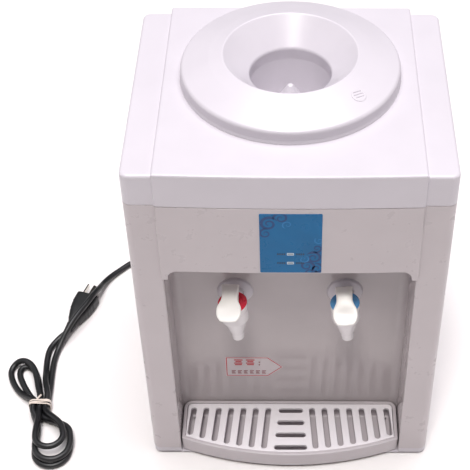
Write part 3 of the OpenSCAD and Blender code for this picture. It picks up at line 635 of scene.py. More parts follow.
# Coated paper of the small sticker.
PAPER = Finish("coated_paper_pink_white", "#CFC6C9", "#CBC2C5", 0.5, Surface.WOVEN,
               grain_mm=0.5, relief_mm=0.01)
# Inks soaked into the same paper: flat reds without gloss.
PAPER_RED = Finish("printed_paper_red", "#C4202E", "#BC1A28", 0.55, Surface.WOVEN)
PAPER_DARK = Finish("printed_paper_dark_red", "#8E3A44", "#86323C", 0.55, Surface.WOVEN)
# Pale paper over wire: the dull, fibrous twist tie of the cord.
TIE_PAPER = Finish("pale_paper_tie", "#DDD3CA", "#CDBFB2", 0.75, Surface.WOVEN,
                   grain_mm=0.5, relief_mm=0.06, drift_mm=4.0)

CAD_FINISHES: dict[str, Finish] = {
    "seat_gasket": SILICONE, "cold_tank": STAINLESS, "cold_tank_jacket": FOAM,
    "cold_block": ALUMINIUM, "peltier_module": CERAMIC, "heat_sink": ALUMINIUM,
    "fan_frame": NYLON_BLACK, "fan_rotor": NYLON_BLACK, "hot_tank": STAINLESS,
    "hot_tank_jacket": FOAM, "heating_element": STAINLESS, "thermostats": PHENOLIC,
    "feed_hose": SILICONE, "hot_hose": SILICONE, "cold_hose": SILICONE,
    "drain_tube": SILICONE, "power_board": BOARD, "indicator_board": BOARD,
    "tap_nuts": ACETAL, "hot_stem": ACETAL, "cold_stem": ACETAL,
    "hot_spring": SPRING_WIRE, "cold_spring": SPRING_WIRE,
}


def add_piece(name: str, shape: Builder, finish: Finish, body: str,
              replaced: Sequence[str] = (),
              sharp: float = 40) -> bpy.types.Object:
    """Put a finished piece into the scene.

    Args:
        name: the piece's name.
        shape: its surfaces.
        finish: its material.
        body: the CAD body that it rides on.
        replaced: CAD nodes that it stands for.
        sharp: angle over which an edge is shaded sharp.

    Returns:
        The object.
    """
    mesh = shape.mesh(name, sharp)
    mesh.materials.append(finish.material())
    obj = bpy.data.objects.new(name, mesh)
    bpy.context.collection.objects.link(obj)
    weigh = obj.modifiers.new("flat faces stay flat", "WEIGHTED_NORMAL")
    weigh.keep_sharp = True
    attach(obj, body)
    if replaced:
        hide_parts(*replaced)
    LOG.info("%s: %d faces on %s", name, len(mesh.polygons), body)
    return obj


def add_plastic(name: str, shape: Builder, node: str, body: str = "cabinet",
                finish: Finish = ABS_WHITE) -> None:
    """Add a white moulding that stands for one CAD node."""
    add_piece(name, shape, finish, body, (node,))


# ---------------------------------------------------------------- the set
@dataclass
class Studio:
    """Camera, floor and lights."""

    lens_mm: float = 92.39
    shift_x: float = -0.1255
    place_m: tuple[float, float, float] = (0.005, -0.9035, 1.1078)
    pitch: float = 44.42
    yaw: float = -0.08
    roll: float = 0.15

    def camera(self) -> None:
        """Make the camera: its axes are worked out from pitch, yaw and roll."""
        th, yw, rl = (math.radians(a) for a in (self.pitch, self.yaw, self.roll))
        ahead = Vector((math.sin(yw) * math.cos(th), math.cos(yw) * math.cos(th), -math.sin(th)))
        right = ahead.cross(Vector((0, 0, 1))).normalized()
        up = right.cross(ahead)
        right2 = right * math.cos(rl) + up * math.sin(rl)
        up2 = right2.cross(ahead)
        data = bpy.data.cameras.new("camera")
        data.lens, data.sensor_width, data.shift_x = self.lens_mm, 36.0, self.shift_x
        cam = bpy.data.objects.new("camera", data)
        cam.matrix_world = Matrix.Translation(self.place_m) @ Matrix(
            (right2, up2, -ahead)).transposed().to_4x4()
        bpy.context.collection.objects.link(cam)
        bpy.context.scene.camera = cam

    def floor(self) -> None:
        """Lay a plain pale floor."""
        b = Builder()
        half = 4000.0
        b.patch(np.array([(-half, -half, 0), (half, -half, 0), (half, half, 0),
                          (-half, half, 0.0)]), [(0, 1, 2), (0, 2, 3)])
        mesh = b.mesh("studio_floor")
        mat = bpy.data.materials.new("studio_paper")
        mat.use_nodes = True
        shader = mat.node_tree.nodes["Principled BSDF"]
        shader.inputs["Base Color"].default_value = linear("#EBE8E7")
        shader.inputs["Roughness"].default_value = 0.9
        shader.inputs["Specular IOR Level"].default_value = 0.1
        mesh.materials.append(mat)
        obj = bpy.data.objects.new("studio_floor", mesh)
        bpy.context.collection.objects.link(obj)

    def light(self, name: str, place: Sequence[float], target: Sequence[float],
              size: float, watts: float, tint: str) -> None:
        """Add one soft box."""
        data = bpy.data.lights.new(name, "AREA")
        data.shape, data.size, data.energy = "DISK", size, watts
        data.color = linear(tint)[:3]
        lamp = bpy.data.objects.new(name, data)
        lamp.location = place
        way = Vector(target) - Vector(place)
        lamp.rotation_mode = "QUATERNION"
        lamp.rotation_quaternion = way.to_track_quat("-Z", "Y")
        bpy.context.collection.objects.link(lamp)

    def lights(self) -> None:
        """Light from a wide disk overhead, a small one on the taps and weak sides."""
        self.light("overhead_box", (0.2, 0.35, 6.0), (0, 0.2, 0.0), 5.0, 428, "#FDFBFF")
        for s in (-1, 1):
            self.light(f"side_box_{'l' if s < 0 else 'r'}", (2.3 * s, -0.1, 0.9),
                       (0.1 * s, 0.05, 0.25), 1.3, 8, "#FFFAFB")
        self.light("tap_kicker", (-0.25, -1.5, 3.6), (0, -0.1, 0.2), 0.7, 66, "#FFFBF6")
        world = bpy.data.worlds.new("pale_sky")
        bpy.context.scene.world = world
        world.use_nodes = True
        back = world.node_tree.nodes["Background"]
        back.inputs[0].default_value = linear("#F6F3F5")
        back.inputs[1].default_value = 0.045
        bpy.context.scene.view_settings.view_transform = "Standard"

    def build(self) -> None:
        """Make everything that isn't part of the object."""
        self.camera()
        self.floor()
        self.lights()


@dataclass
class Lines:
    """Planes of the CAD frame that the pieces are laid out from."""

    front: float = 0.0
    half_w: float = 0.0
    back: float = 0.0
    strip_z: float = 0.0
    panel_z: float = 0.0

    @classmethod
    def from_frame(cls) -> "Lines":
        """Read the planes from the CAD nodes' boxes."""
        lo, hi = (np.array(c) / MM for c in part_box("front_frame"))
        wall = np.array(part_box("back_panel")[1]) / MM
        top = np.array(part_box("top_cover")[1]) / MM
        return cls(front=float(lo[1]), half_w=float(hi[0]), back=float(wall[1]),
                   strip_z=float(top[2]) - 3.0, panel_z=float(top[2]))

    def y(self, depth: float) -> float:
        """Turn a depth into the row's Y."""
        return self.front + depth

    def facing_front(self, depth: float) -> Place:
        """Points drawn upright at a depth, with height towards the front."""
        face = self.y(depth)
        return lambda p: np.stack([p[..., 0], face - p[..., 2], p[..., 1]], -1)

    def rearward(self, x: float, z: float, depth: float = BODY_DEPTH) -> Place:
        """Carry points turned about an upright axis to a wall, height towards the back."""
        face = self.y(depth)
        return lambda p: np.stack([x + p[..., 0], face + p[..., 2], z - p[..., 1]], -1)


@dataclass
class MainsCord:
    """The cord from the back panel to the hank and on to the plug."""

    at: Lines
    diameter: float = 7.0
    tie: tuple[float, float] = (-284.0, 58.0)
    plug: tuple[float, float, float] = (-250.0, 226.0, 8.6)
    plug_turn: float = -18.0
    sides: int = 16
    low: float = 5.5
    high: float = 12.5
    lead: tuple = (
        (-105, 280, 40), (-105, 292, 39), (-107, 303, 34), (-112, 313, 25),
        (-121, 320, 14), (-133, 322, 6), (-148, 319, 3.6), (-164, 313, 3.6),
        (-180, 305, 3.6), (-195, 296, 3.6), (-207, 286.5, 3.6), (-217, 276, 4),
        (-225.5, 265.5, 5.4), (-231, 256, 7.4), (-235, 246, 10), (-237, 236, 14.6),
        (-239.5, 227, 18.4), (-242.5, 217, 21.2), (-246.2, 207, 22.4),
        (-251, 196.5, 22.4), (-256, 187, 22), (-261.5, 176.5, 20.2),
        (-266.5, 167, 16.8), (-270, 160.5, 12.8), (-272.8, 155, 9),
        (-275.2, 149, 6), (-277.4, 141, 4), (-278.8, 130, 3.6), (-278.9, 115, 3.6),
        (-278.2, 100, 3.6), (-277.4, 86, 4.4), (-277, 70, 5.5))
    tail: tuple = (
        (-277, 70, 12.8), (-279.4, 80, 12.4), (-281.9, 88, 11), (-283.9, 97, 8.6),
        (-285.6, 108, 5.2), (-287, 120, 3.6), (-287.6, 132, 3.6), (-287, 143, 3.6),
        (-284.6, 151, 3.6), (-280.6, 157.5, 4.4), (-275.4, 163, 6.4),
        (-270.4, 167.5, 8), (-267.7, 171.8, 8.6))
    first_loop: tuple = (
        (-291.6, 66, 5), (-298, 74, 3.6), (-304.8, 84, 3.6), (-310.8, 94.5, 3.6),
        (-315.4, 105, 3.6), (-316.2, 112.5, 3.6), (-312.8, 118, 3.6), (-306.6, 118, 3.6),
        (-300.4, 113, 3.6), (-295.4, 104, 3.6), (-291.6, 92.5, 3.6), (-288.6, 80, 4),
        (-285.2, 68, 5.2))
    second_loop: tuple = (
        (-292.4, 64.5, 11.6), (-298.4, 69, 9.2), (-305.4, 74.5, 6), (-312.6, 81.5, 3.8),
        (-319.8, 91.5, 3.6), (-325.2, 103, 3.6), (-326.8, 112, 3.6), (-324.2, 119, 5.4),
        (-318.4, 122.4, 8.8), (-311.4, 121.8, 10.6), (-304, 117, 10.7),
        (-298, 108, 10.6), (-294, 97, 10.6), (-290.2, 84, 11), (-285.6, 70, 12.2))

    def lower_turn(self, out_x: float, back_x: float, z: Sequence[float],
                   nudge: Sequence[float], radius: float = 19.0,
                   reverse: bool = False) -> Array:
        """Knots of one turn of the lower lobe.

        Down a shoulder on the right, round a half circle, and up the left side.

        Args:
            out_x: place in the tie of the strand on the right.
            back_x: place in the tie of the strand on the left.
            z: heights at the right strand, round the lobe and at the left strand.
            nudge: shift of the lobe, x and depth.
            radius: radius of the half circle.
            reverse: whether the cord runs the other way round.

        Returns:
            The knots.
        """
        cx, cy = -264.5 + nudge[0], 0.0 + nudge[1]
        t = np.radians(np.arange(0, -181, -30.0))
        arc = np.stack([cx + radius * np.cos(t), cy + radius * np.sin(t)], 1)
        down = [(out_x, 58), (out_x + 0.6, 50), (out_x + 5.5, 42.5),
                ((out_x + cx + radius) / 2 - 1, 36), (cx + radius - 5, 26),
                (cx + radius - 0.6, 14)]
        up = [(cx - radius - 0.2, 13), (cx - radius - 0.8, 27),
              ((cx - radius + back_x) / 2, 39), (back_x, 50), (back_x, 58)]
        xy = np.concatenate([down, arc, up])
        hz = np.concatenate([[z[0], z[0], 0.6 * z[0] + 0.4 * z[1], 0.3 * z[0] + 0.7 * z[1]],
                             np.full(len(xy) - 8, z[1]),
                             [0.7 * z[1] + 0.3 * z[2], 0.3 * z[1] + 0.7 * z[2], z[2], z[2]]])
        k = np.column_stack([xy, hz])
        return k[::-1] if reverse else k

    def route(self) -> Array:
        """The whole centreline, in millimetres, row frame."""
        a, b, c = self.tie[0] - 7, self.tie[0], self.tie[0] + 7
        lo, hi = self.low, self.high
        knots = np.concatenate([
            self.lead,
            self.lower_turn(c, a, (lo, 3.6, lo), (1.5, -1.2)),
            self.first_loop,
            self.lower_turn(b, a, (lo, 10.6, hi), (2.2, 2.5)),
            self.second_loop,
            self.lower_turn(c, b, (hi, 17.6, hi), (-1.5, 11.0), 15.5, reverse=True),
            self.tail])
        knots[:, 1] += self.at.front
        path = smooth_path(knots)
        path[:, 2] = np.maximum(path[:, 2], self.diameter / 2 + 0.02)
        return path

    def sheath(self, path: Array) -> bpy.types.Object:
        """The cord itself: a round tube along the route."""
        return add_piece("mains_cord", Builder().tube(path, self.diameter / 2, self.sides),
                         PVC_BLACK, "cabinet", ("cord_lead", "cord_hank", "plug_lead"),
                         sharp=60)

    def twist_tie(self) -> bpy.types.Object:
        """A paper-covered wire wound three times round the six strands.

        The winding is a rounded rectangle in X and Z that creeps along Y with each
        turn and slants a little; its two ends are twisted about each other on top.
        """
        x, y = self.tie[0], self.at.y(self.tie[1])
        loop = rounded([(-12.1, 1.1), (12.1, 1.1), (12.1, 17.3), (-12.1, 17.3)], 4.8, 8)
        turns, ring_n = 3, 10
        flat = np.concatenate([np.tile(loop, (turns, 1)), loop[:1]])
        s = np.linspace(0, 1, len(flat))
        creep = -3.6 + 7.2 * s + 0.10 * flat[:, 0] * np.cos(5.1 * s + 0.6)
        path = np.column_stack([x + flat[:, 0], y - creep, flat[:, 1]])
        n = outward(loop)
        n = np.concatenate([np.tile(n, (turns, 1)), n[:1]])
        n /= np.linalg.norm(n, axis=1, keepdims=True)
        t = np.linspace(0, 2 * math.pi, ring_n, endpoint=False)
        ring = (np.cos(t)[None, :, None] * np.array([0, 1.0, 0])
                + 0.5 * np.sin(t)[None, :, None]
                * np.column_stack([n[:, 0], 0 * n[:, 0], n[:, 1]])[:, None])
        p = path[:, None] + ring
        ends = [np.repeat(p[i].mean(0)[None, None], ring_n, 1) for i in (0, -1)]
        b = Builder().grid(np.concatenate([ends[0], p, ends[1]]))
        q = np.linspace(0, 1, 48)
        for side in (0, math.pi):
            turn = 7 * math.pi * q + side
            tail = np.column_stack([x - 3 + 3.4 * q + 0.7 * np.cos(turn),
                                    y + 2.5 + 6.5 * q + 0.7 * np.sin(turn),
                                    17.6 - 0.9 * q])
            b.tube(tail, 0.5, 8)
        return add_piece("twist_tie", b, TIE_PAPER, "cabinet", ("cord_tie",),
                         sharp=50)

    def at_plug(self) -> Place:
        """The plug's own axes: x runs from the boot towards the pins."""
        x, d, z = self.plug
        return tilted((x, self.at.y(d), z), z=90 + self.plug_turn)

    def plug_shell(self) -> bpy.types.Object:
        """The moulded plug: a squarish section that narrows to a ribbed boot.

        Half width and half height are given along the length; each section is a
        superellipse, and ribs raise the sides of the grip by a sine.
        """
        s = np.concatenate([[0, 0.15, 0.5, 1.0, 1.8], np.linspace(3, 41, 60),
                            [41.6, 42.1, 42.6, 43.2], np.linspace(44, 56.4, 24), [56.8, 57.0]])
        along = [0, 0.15, 0.5, 1.0, 1.8, 12, 24, 34, 41, 42.1, 43, 50, 56.4, 57]
        w = np.interp(s, along, [12.6, 13.2, 13.6, 13.9, 14.0, 13.9, 12.1, 9.6, 7.6, 7.1, 6.3,
                                 6.0, 5.1, 4.5])
        h = np.interp(s, along,
                      [6.2, 7.0, 7.5, 7.8, 8.0, 8.2, 8.2, 7.6, 6.8, 6.2, 5.8, 5.5, 4.9, 4.4])
        power = np.interp(s, [0, 24, 42, 46, 57], [6.0, 4.6, 3.0, 2.0, 2.0])
        wave = lambda lo, hi, turns: np.where((s > lo) & (s < hi), np.maximum(
            0, np.sin((s - lo) / (hi - lo) * turns * math.pi)), 0)
        rib, groove = wave(13, 35, 8), wave(45, 55, 4)
        t = np.linspace(0, 2 * math.pi, 64, endpoint=False)
        c, d = np.cos(t), np.sin(t)
        e = 2 / power[:, None]
        lift = 0.4 * rib[:, None] * np.clip(np.abs(c) * 1.8 - 0.8, 0, 1)
        width = w[:, None] + lift - 0.5 * groove[:, None]
        y = np.sign(c) * np.abs(c) ** e * width
        z = np.sign(d) * np.abs(d) ** e * (h[:, None] - 0.5 * groove[:, None])
        p = np.stack([-s[:, None] + 0 * y, y, z], -1)
        ends = [np.repeat(p[i].mean(0)[None, None], 64, 1) for i in (0, -1)]
        b = Builder().grid(self.at_plug()(np.concatenate([ends[0], p, ends[1]])))
        return add_piece("plug_shell", b, PVC_PLUG, "cabinet", ("plug_body",),
                         sharp=50)

    def blades(self) -> bpy.types.Object:
        """Three flat pins with rounded edges and chamfered tips."""
        b = Builder()
        place = self.at_plug()
        for side, lift, turn, long in ((8, 0, 90, 18), (-2.8, 3.6, 30, 16), (-2.8, -3.6, -30, 16)):
            outline = rounded([(-2, -3.2), (long, -3.2), (long, 3.2), (-2, 3.2)],
                              [0.3, 1.3, 1.3, 0.3], 5)
            pose = tilted((0.02, side, lift), x=turn)
            b.slab([outline], edge_rounds(-0.8, 0.8, 0.3, 0.3, 3),
                   lambda p, pose=pose: place(pose(p)))
        return add_piece("plug_blades", b, NICKEL, "cabinet", ("plug_pins",),
                         sharp=50)

    def gland(self) -> bpy.types.Object:
        """The strain relief: a flange and a tapered, grooved sleeve."""
        z = np.linspace(0, 26, 53)
        bend = 6.4 - 1.75 * z / 26 - 0.55 * (np.sin(z / 26 * 12 * math.pi) > 0.3) * (z < 23)
        section = np.concatenate([
            [[0, -8], [6.0, -8], [6.3, -7.7], [6.3, 0.1], [8.6, 0.1], [9.0, 0.5], [9.0, 1.6],
             [8.6, 2.0], [6.6, 2.0]], np.column_stack([bend, z + 2.2]),
            [[4.5, 29.4], [3.9, 30], [0, 30]]])
        b = Builder().turned(section, count=40, place=self.at.rearward(*GLAND_XZ))
        return add_piece("cord_sleeve", b, PVC_PLUG, "cabinet", ("cord_gland",),
                         sharp=45)

    def build(self) -> None:
        path = self.route()
        cord, tie = self.sheath(path), self.twist_tie()
        plug, pins = self.plug_shell(), self.blades()
        self.gland()
        long = float(np.linalg.norm(np.diff(path, axis=0), axis=1).sum()) * MM
        LOG.info("cord is %.3f m long", long)
        self.at.y(280) * MM


@dataclass
class Cabinet:
    """The body's mouldings and panels."""

    at: Lines
    wall: float = 2.5
    corner: float = 8.0
    skirt_z: float = 375.0
    base_z: float = 10.0
    bay: float = 119.5
    hem_z: float = 292.0
    fascia: float = 121.5
    seam: float = 0.28
    slats: int = 10
    louvre_z: float = 60.0
    pitch: float = 9.0
    slot_width: float = 4.4

    def bow(self, x: Array) -> Array:
        """Depth of the bowed middle panel's front: a parabola across its width."""
        return -2.0 - 2.5 * (1 - (x / self.fascia) ** 2)

    def pillars(self) -> None:
        """The front frame: two upright pillars with round outer corners and a header."""
        y, w = self.at.y, self.wall
        half, r = self.at.half_w, self.corner
        b = Builder()
        for s in (1, -1):
            plan = [(self.bay, y(0)), (half, y(0)), (half, y(30)), (half - w, y(30)),
                    (half - w, y(w)), (self.bay, y(w))]
            loop = rounded(plan, [0.8, r, 0.5, 0.5, r - w, 0.5], 10) * (s, 1)
            upright = edge_rounds(self.base_z + 0.15, self.skirt_z - self.seam, 0.4, 0.4)
            b.slab([loop[::s]], upright)
        head = box_loop(-self.bay, self.hem_z + 3, self.bay, self.skirt_z - 1, 1)
        b.slab([head], edge_rounds(0.05, w, 0.3, 0.3), facing_back((0, y(0), 0)))
        # The pillars and header take the greyer front finish, which is painted shade.
        add_plastic("front_frame_moulding", b, "front_frame", finish=ABS_FRONT_SHADED)

    def around(self, s: float) -> Place:
        """Carry a flat side panel round the rear corner.

        x runs back along the side, over a quarter circle, then inwards along the
        rear; height is the depth into the sheet.
        """
        r, half = self.corner, self.at.half_w
        start, rear = self.at.y(30), self.at.back
        straight = rear - r - start

        def place(p: Array) -> Array:
            u, z, w = p[..., 0], p[..., 1], p[..., 2]
            a = np.clip((u - straight) / r, 0, math.pi / 2)
            past = np.maximum(0, u - straight - r * math.pi / 2)
            x = half - r + (r - w) * np.cos(a) - past
            d = start + np.minimum(u, straight) + (r - w) * np.sin(a)
            return np.stack([s * x, d, z], -1)
        return place

    def side_panels(self) -> None:
        """Sheet side panels with a row of louvres low down."""
        rows = self.louvre_z + self.pitch * np.arange(self.slats)
        for s, word in ((1, "right"), (-1, "left")):
            length = self.at.back - self.corner - self.at.y(30) + self.corner * math.pi / 2 + 4
            outline = box_loop(0.25, self.base_z + 0.2, length, self.skirt_z - self.seam, 1.2)
            slots = [slot_loop((121.5, z), (182.5, z), self.slot_width) for z in rows]
            place = self.around(s)
            b = Builder().slab([outline, *slots], edge_rounds(0, 1.2, 0.5, 0.2, 3), place, 14.0)
            for z in rows:
                self.blade(b, 118, 186, z, place)
            add_piece(f"side_panel_{word}_sheet", b, POWDER_COAT, "cabinet",
                      (f"side_panel_{word}",))

    def blade(self, b: Builder, x0: float, x1: float, z: float, place: Place) -> None:
        """Add a louvre's blade: a strip that leans in from the slot's upper lip.

        Its height over the sheet's inner face is a quarter wave down the strip.
        """
        v = np.linspace(0, 1, 8)
        u = np.linspace(x0, x1, 24)
        fall = np.minimum(1, np.minimum(u - x0, x1 - u) / 5)[None]
        z_line = (z + 2.8 - 7.0 * v)[:, None] + 0 * u
        depth = 1.0 + 3.4 * np.sin(v * math.pi / 2)[:, None] * fall ** 0.5
        front = np.stack([np.broadcast_to(u, z_line.shape), z_line, depth], -1)
        back = front + (0, 0, 0.9)
        shell = np.concatenate([front, back[::-1]])
        b.grid(place(shell), around=False, ring=True)
        for i in (0, -1):
            end = np.stack([front[:, i], back[:, i]], 1)
            b.grid(place(end), around=False)

    def back_sheet(self) -> None:
        """The back panel with its fan grille, lower louvres and cut-outs."""
        outline = box_loop(-137.7, self.base_z + 0.3, 137.7, self.skirt_z - self.seam, 1.5)
        rows: list[tuple[float, float, float]] = [
            (-34, 34, 264 + 8.0 * i) for i in range(10)]
        rows += [(x - 32, x + 32, 112 + self.pitch * i) for x in (-50, 50) for i in range(6)]
        holes = [slot_loop((a, z), (c, z), self.slot_width) for a, c, z in rows]
        holes += [box_loop(x - 6.9, SWITCH_Z - 10.1, x + 6.9, SWITCH_Z + 10.1, 0.6)[::-1]
                  for x in SWITCH_X]
        holes += [circle_loop(*GLAND_XZ, 6.5), circle_loop(*DRAIN_XZ, 7.5)]
        holes += [circle_loop(s * SCREW_X, z, 1.9, 20) for s in (-1, 1) for z in SCREW_Z]
        place = lambda p: np.stack([p[..., 0], self.at.back - p[..., 2], p[..., 1]], -1)
        b = Builder().slab([outline, *holes], edge_rounds(0, 1.4, 0.4, 0.2, 3), place)
        for a, c, z in rows:
            if z < 250:
                self.blade(b, a - 3, c + 3, z, place)
        add_piece("back_panel_sheet", b, ZINC, "cabinet", ("back_panel",))
        b = Builder()
        dome = np.array([[0, 1.0], [0.9, 1.0], [1.1, 2.0], [2.2, 1.7], [3.3, 0.8],
                         [3.6, 0.1], [1.8, 0], [1.8, -6], [0, -6]])
        for s in (-1, 1):
            for z in SCREW_Z:
                b.turned(dome, count=24, place=self.at.rearward(s * SCREW_X, z))
        add_piece("back_panel_screws", b, NICKEL, "cabinet", ("back_screws",))

    def base(self) -> None:
        """The base pan: a floor and a low wall that stands back from the panels."""
        y, half = self.at.y, self.at.half_w - 0.5
        rear = self.at.back - 0.5
        floor = box_loop(-half, y(0.5), half, rear, self.corner - 0.5, 8)
        b = Builder().slab([floor], edge_rounds(1.5, 3.4, 0.8, 0.1, 4))
        t = 2.2
        plan = [(self.bay, y(0.5)), (half, y(0.5)), (half, rear), (-half, rear), (-half, y(0.5)),
                (-self.bay, y(0.5)), (-self.bay, y(0.5 + t)), (t - half, y(0.5 + t)),
                (t - half, rear - t), (half - t, rear - t), (half - t, y(0.5 + t)),
                (self.bay, y(0.5 + t))]
        r = [0.6, 7.5, 7.5, 7.5, 7.5, 0.6, 0.6, 5, 5, 5, 5, 0.6]
        b.slab([rounded(plan, r, 8)], edge_rounds(1.5, self.base_z - 0.15, 1.05, 0.4))
        add_plastic("base_pan_moulding", b, "base_pan")
        b = Builder()
        sole = rounded([(0, 0), (8.4, 0), (9.0, 2.4), (0, 2.4)], [0, 0.8, 0.2, 0], 4, False)
        for s in (-1, 1):
            for d in FOOT_DEPTHS:
                b.turned(sole, (s * SCREW_X, y(d)), 40)
        add_piece("rubber_foot_set", b, RUBBER, "cabinet", ("rubber_feet",))

    def cover(self) -> None:
        """The top cover: lower strips at the sides and a raised, bowed middle panel.

        Both are shells of even thickness whose outer edges roll over into the top.
        """
        y, half, w = self.at.y, self.at.half_w, self.wall
        top, strip = self.at.panel_z, self.at.strip_z
        hole = circle_loop(0, y(SEAT_DEPTH), 94.5, 128)
        t = np.linspace(0, math.pi / 2, 7)

        def rim(high: float, r: float) -> Array:
            roll = np.stack([r * (1 - np.cos(t)), high - r * (1 - np.sin(t))], 1)
            return np.concatenate([[[w, high - w], [w, self.skirt_z + 0.3],
                                    [w - 0.3, self.skirt_z], [0.4, self.skirt_z],
                                    [0, self.skirt_z + 0.4]], roll])

        def lip(high: float) -> Array:
            return np.array([[0, high - w], [0, high - 0.4], [0.4, high]])
        plan = box_loop(-half, y(0), half, y(BODY_DEPTH), self.corner, 10)
        b = Builder().slab([plan, hole], [rim(strip, 3.0), lip(strip)])
        x = np.linspace(-self.fascia, self.fascia, 41)
        front = np.column_stack([x, y(0) + self.bow(x)])
        loop = np.concatenate([
            rounded([(-self.fascia, y(200)), front[0], front[1]], [0, 2, 0], 6, False)[1:-1],
            front[2:-2],
            rounded([front[-2], front[-1], (self.fascia, y(256.5)), (-self.fascia, y(256.5)),
                     (-self.fascia, y(200))], [0, 2, 3, 3, 0], 6, False)[1:]])
        b.slab([loop, hole], [rim(top, 2.2), lip(top)])
        add_plastic("top_cover_moulding", b, "top_cover")

    def front_panel(self) -> None:
        """The fascia over the bay: bowed, with an ear at each end of its hem."""
        f, hem = self.fascia - 0.25, self.hem_z
        corners = [(-f, 280.4), (-114.9, 280.4), (-114.9, hem), (114.9, hem), (114.9, 280.4),
                   (f, 280.4), (f, self.skirt_z - self.seam), (-f, self.skirt_z - self.seam)]
        loop = rounded(corners, [1.2, 1.2, 9.5, 9.5, 1.2, 1.2, 0.6, 0.6], 8)
        loop = np.concatenate([
            np.linspace(p, q, max(2, int(abs(q[0] - p[0]) // 8)), endpoint=False)
            for p, q in zip(loop, np.roll(loop, -1, 0))])

        def place(p: Array) -> Array:
            x, z, w = p[..., 0], p[..., 1], p[..., 2]
            depth = w * (-self.bow(x)) / 2.0
            return np.stack([x, self.at.y(0) - depth, z], -1)
        b = Builder().slab([loop], edge_rounds(0.02, 2.0, 0.1, 0.9, 5), place, 9.0)
        # The fascia takes the greyer front finish, which is painted shade.
        add_plastic("front_fascia_moulding", b, "front_fascia", finish=ABS_FRONT_SHADED)

    def bay_shell(self) -> None:
        """The bay's liner: one wall round three sides with round corners, and a ceiling."""
        y, q, w, d = self.at.y, self.bay, self.wall, BAY_DEPTH
        plan = [(-q, y(w)), (-q, y(d)), (q, y(d)), (q, y(w)), (q + w, y(w)), (q + w, y(d + w)),
                (-q - w, y(d + w)), (-q - w, y(w))]
        loop = rounded(plan, [0.3, 10, 10, 0.3, 0.3, 4, 4, 0.3], 10)[::-1]
        b = Builder().slab([loop], edge_rounds(4.2, self.hem_z + w, 0.2, 0.2))
        lid = rounded([(-q - 1, y(w)), (q + 1, y(w)), (q + 1, y(d + 1)), (-q - 1, y(d + 1))], 1)
        b.slab([lid], edge_rounds(self.hem_z, self.hem_z + w, 0.2, 0.2))
        cove = rounded([(0, 0), (0, -6), (6, 0)], [0, 5.5, 0], 6, False)
        x = np.linspace(-q, q, 3)
        p = np.stack([np.broadcast_to(x, (len(cove), 3)),
                      np.broadcast_to(y(d) - cove[:, :1] + 0.02, (len(cove), 3)),
                      np.broadcast_to(self.hem_z + cove[:, 1:] + 0.02, (len(cove), 3))], -1)
        b.grid(p, around=False)
        add_plastic("bay_liner_moulding", b, "bay_liner", finish=ABS_LINER)

    def build(self) -> None:
        """Make every moulding and panel."""
        self.pillars()
        self.side_panels()
        self.back_sheet()
        self.base()
        self.cover()
        self.front_panel()
        self.bay_shell()


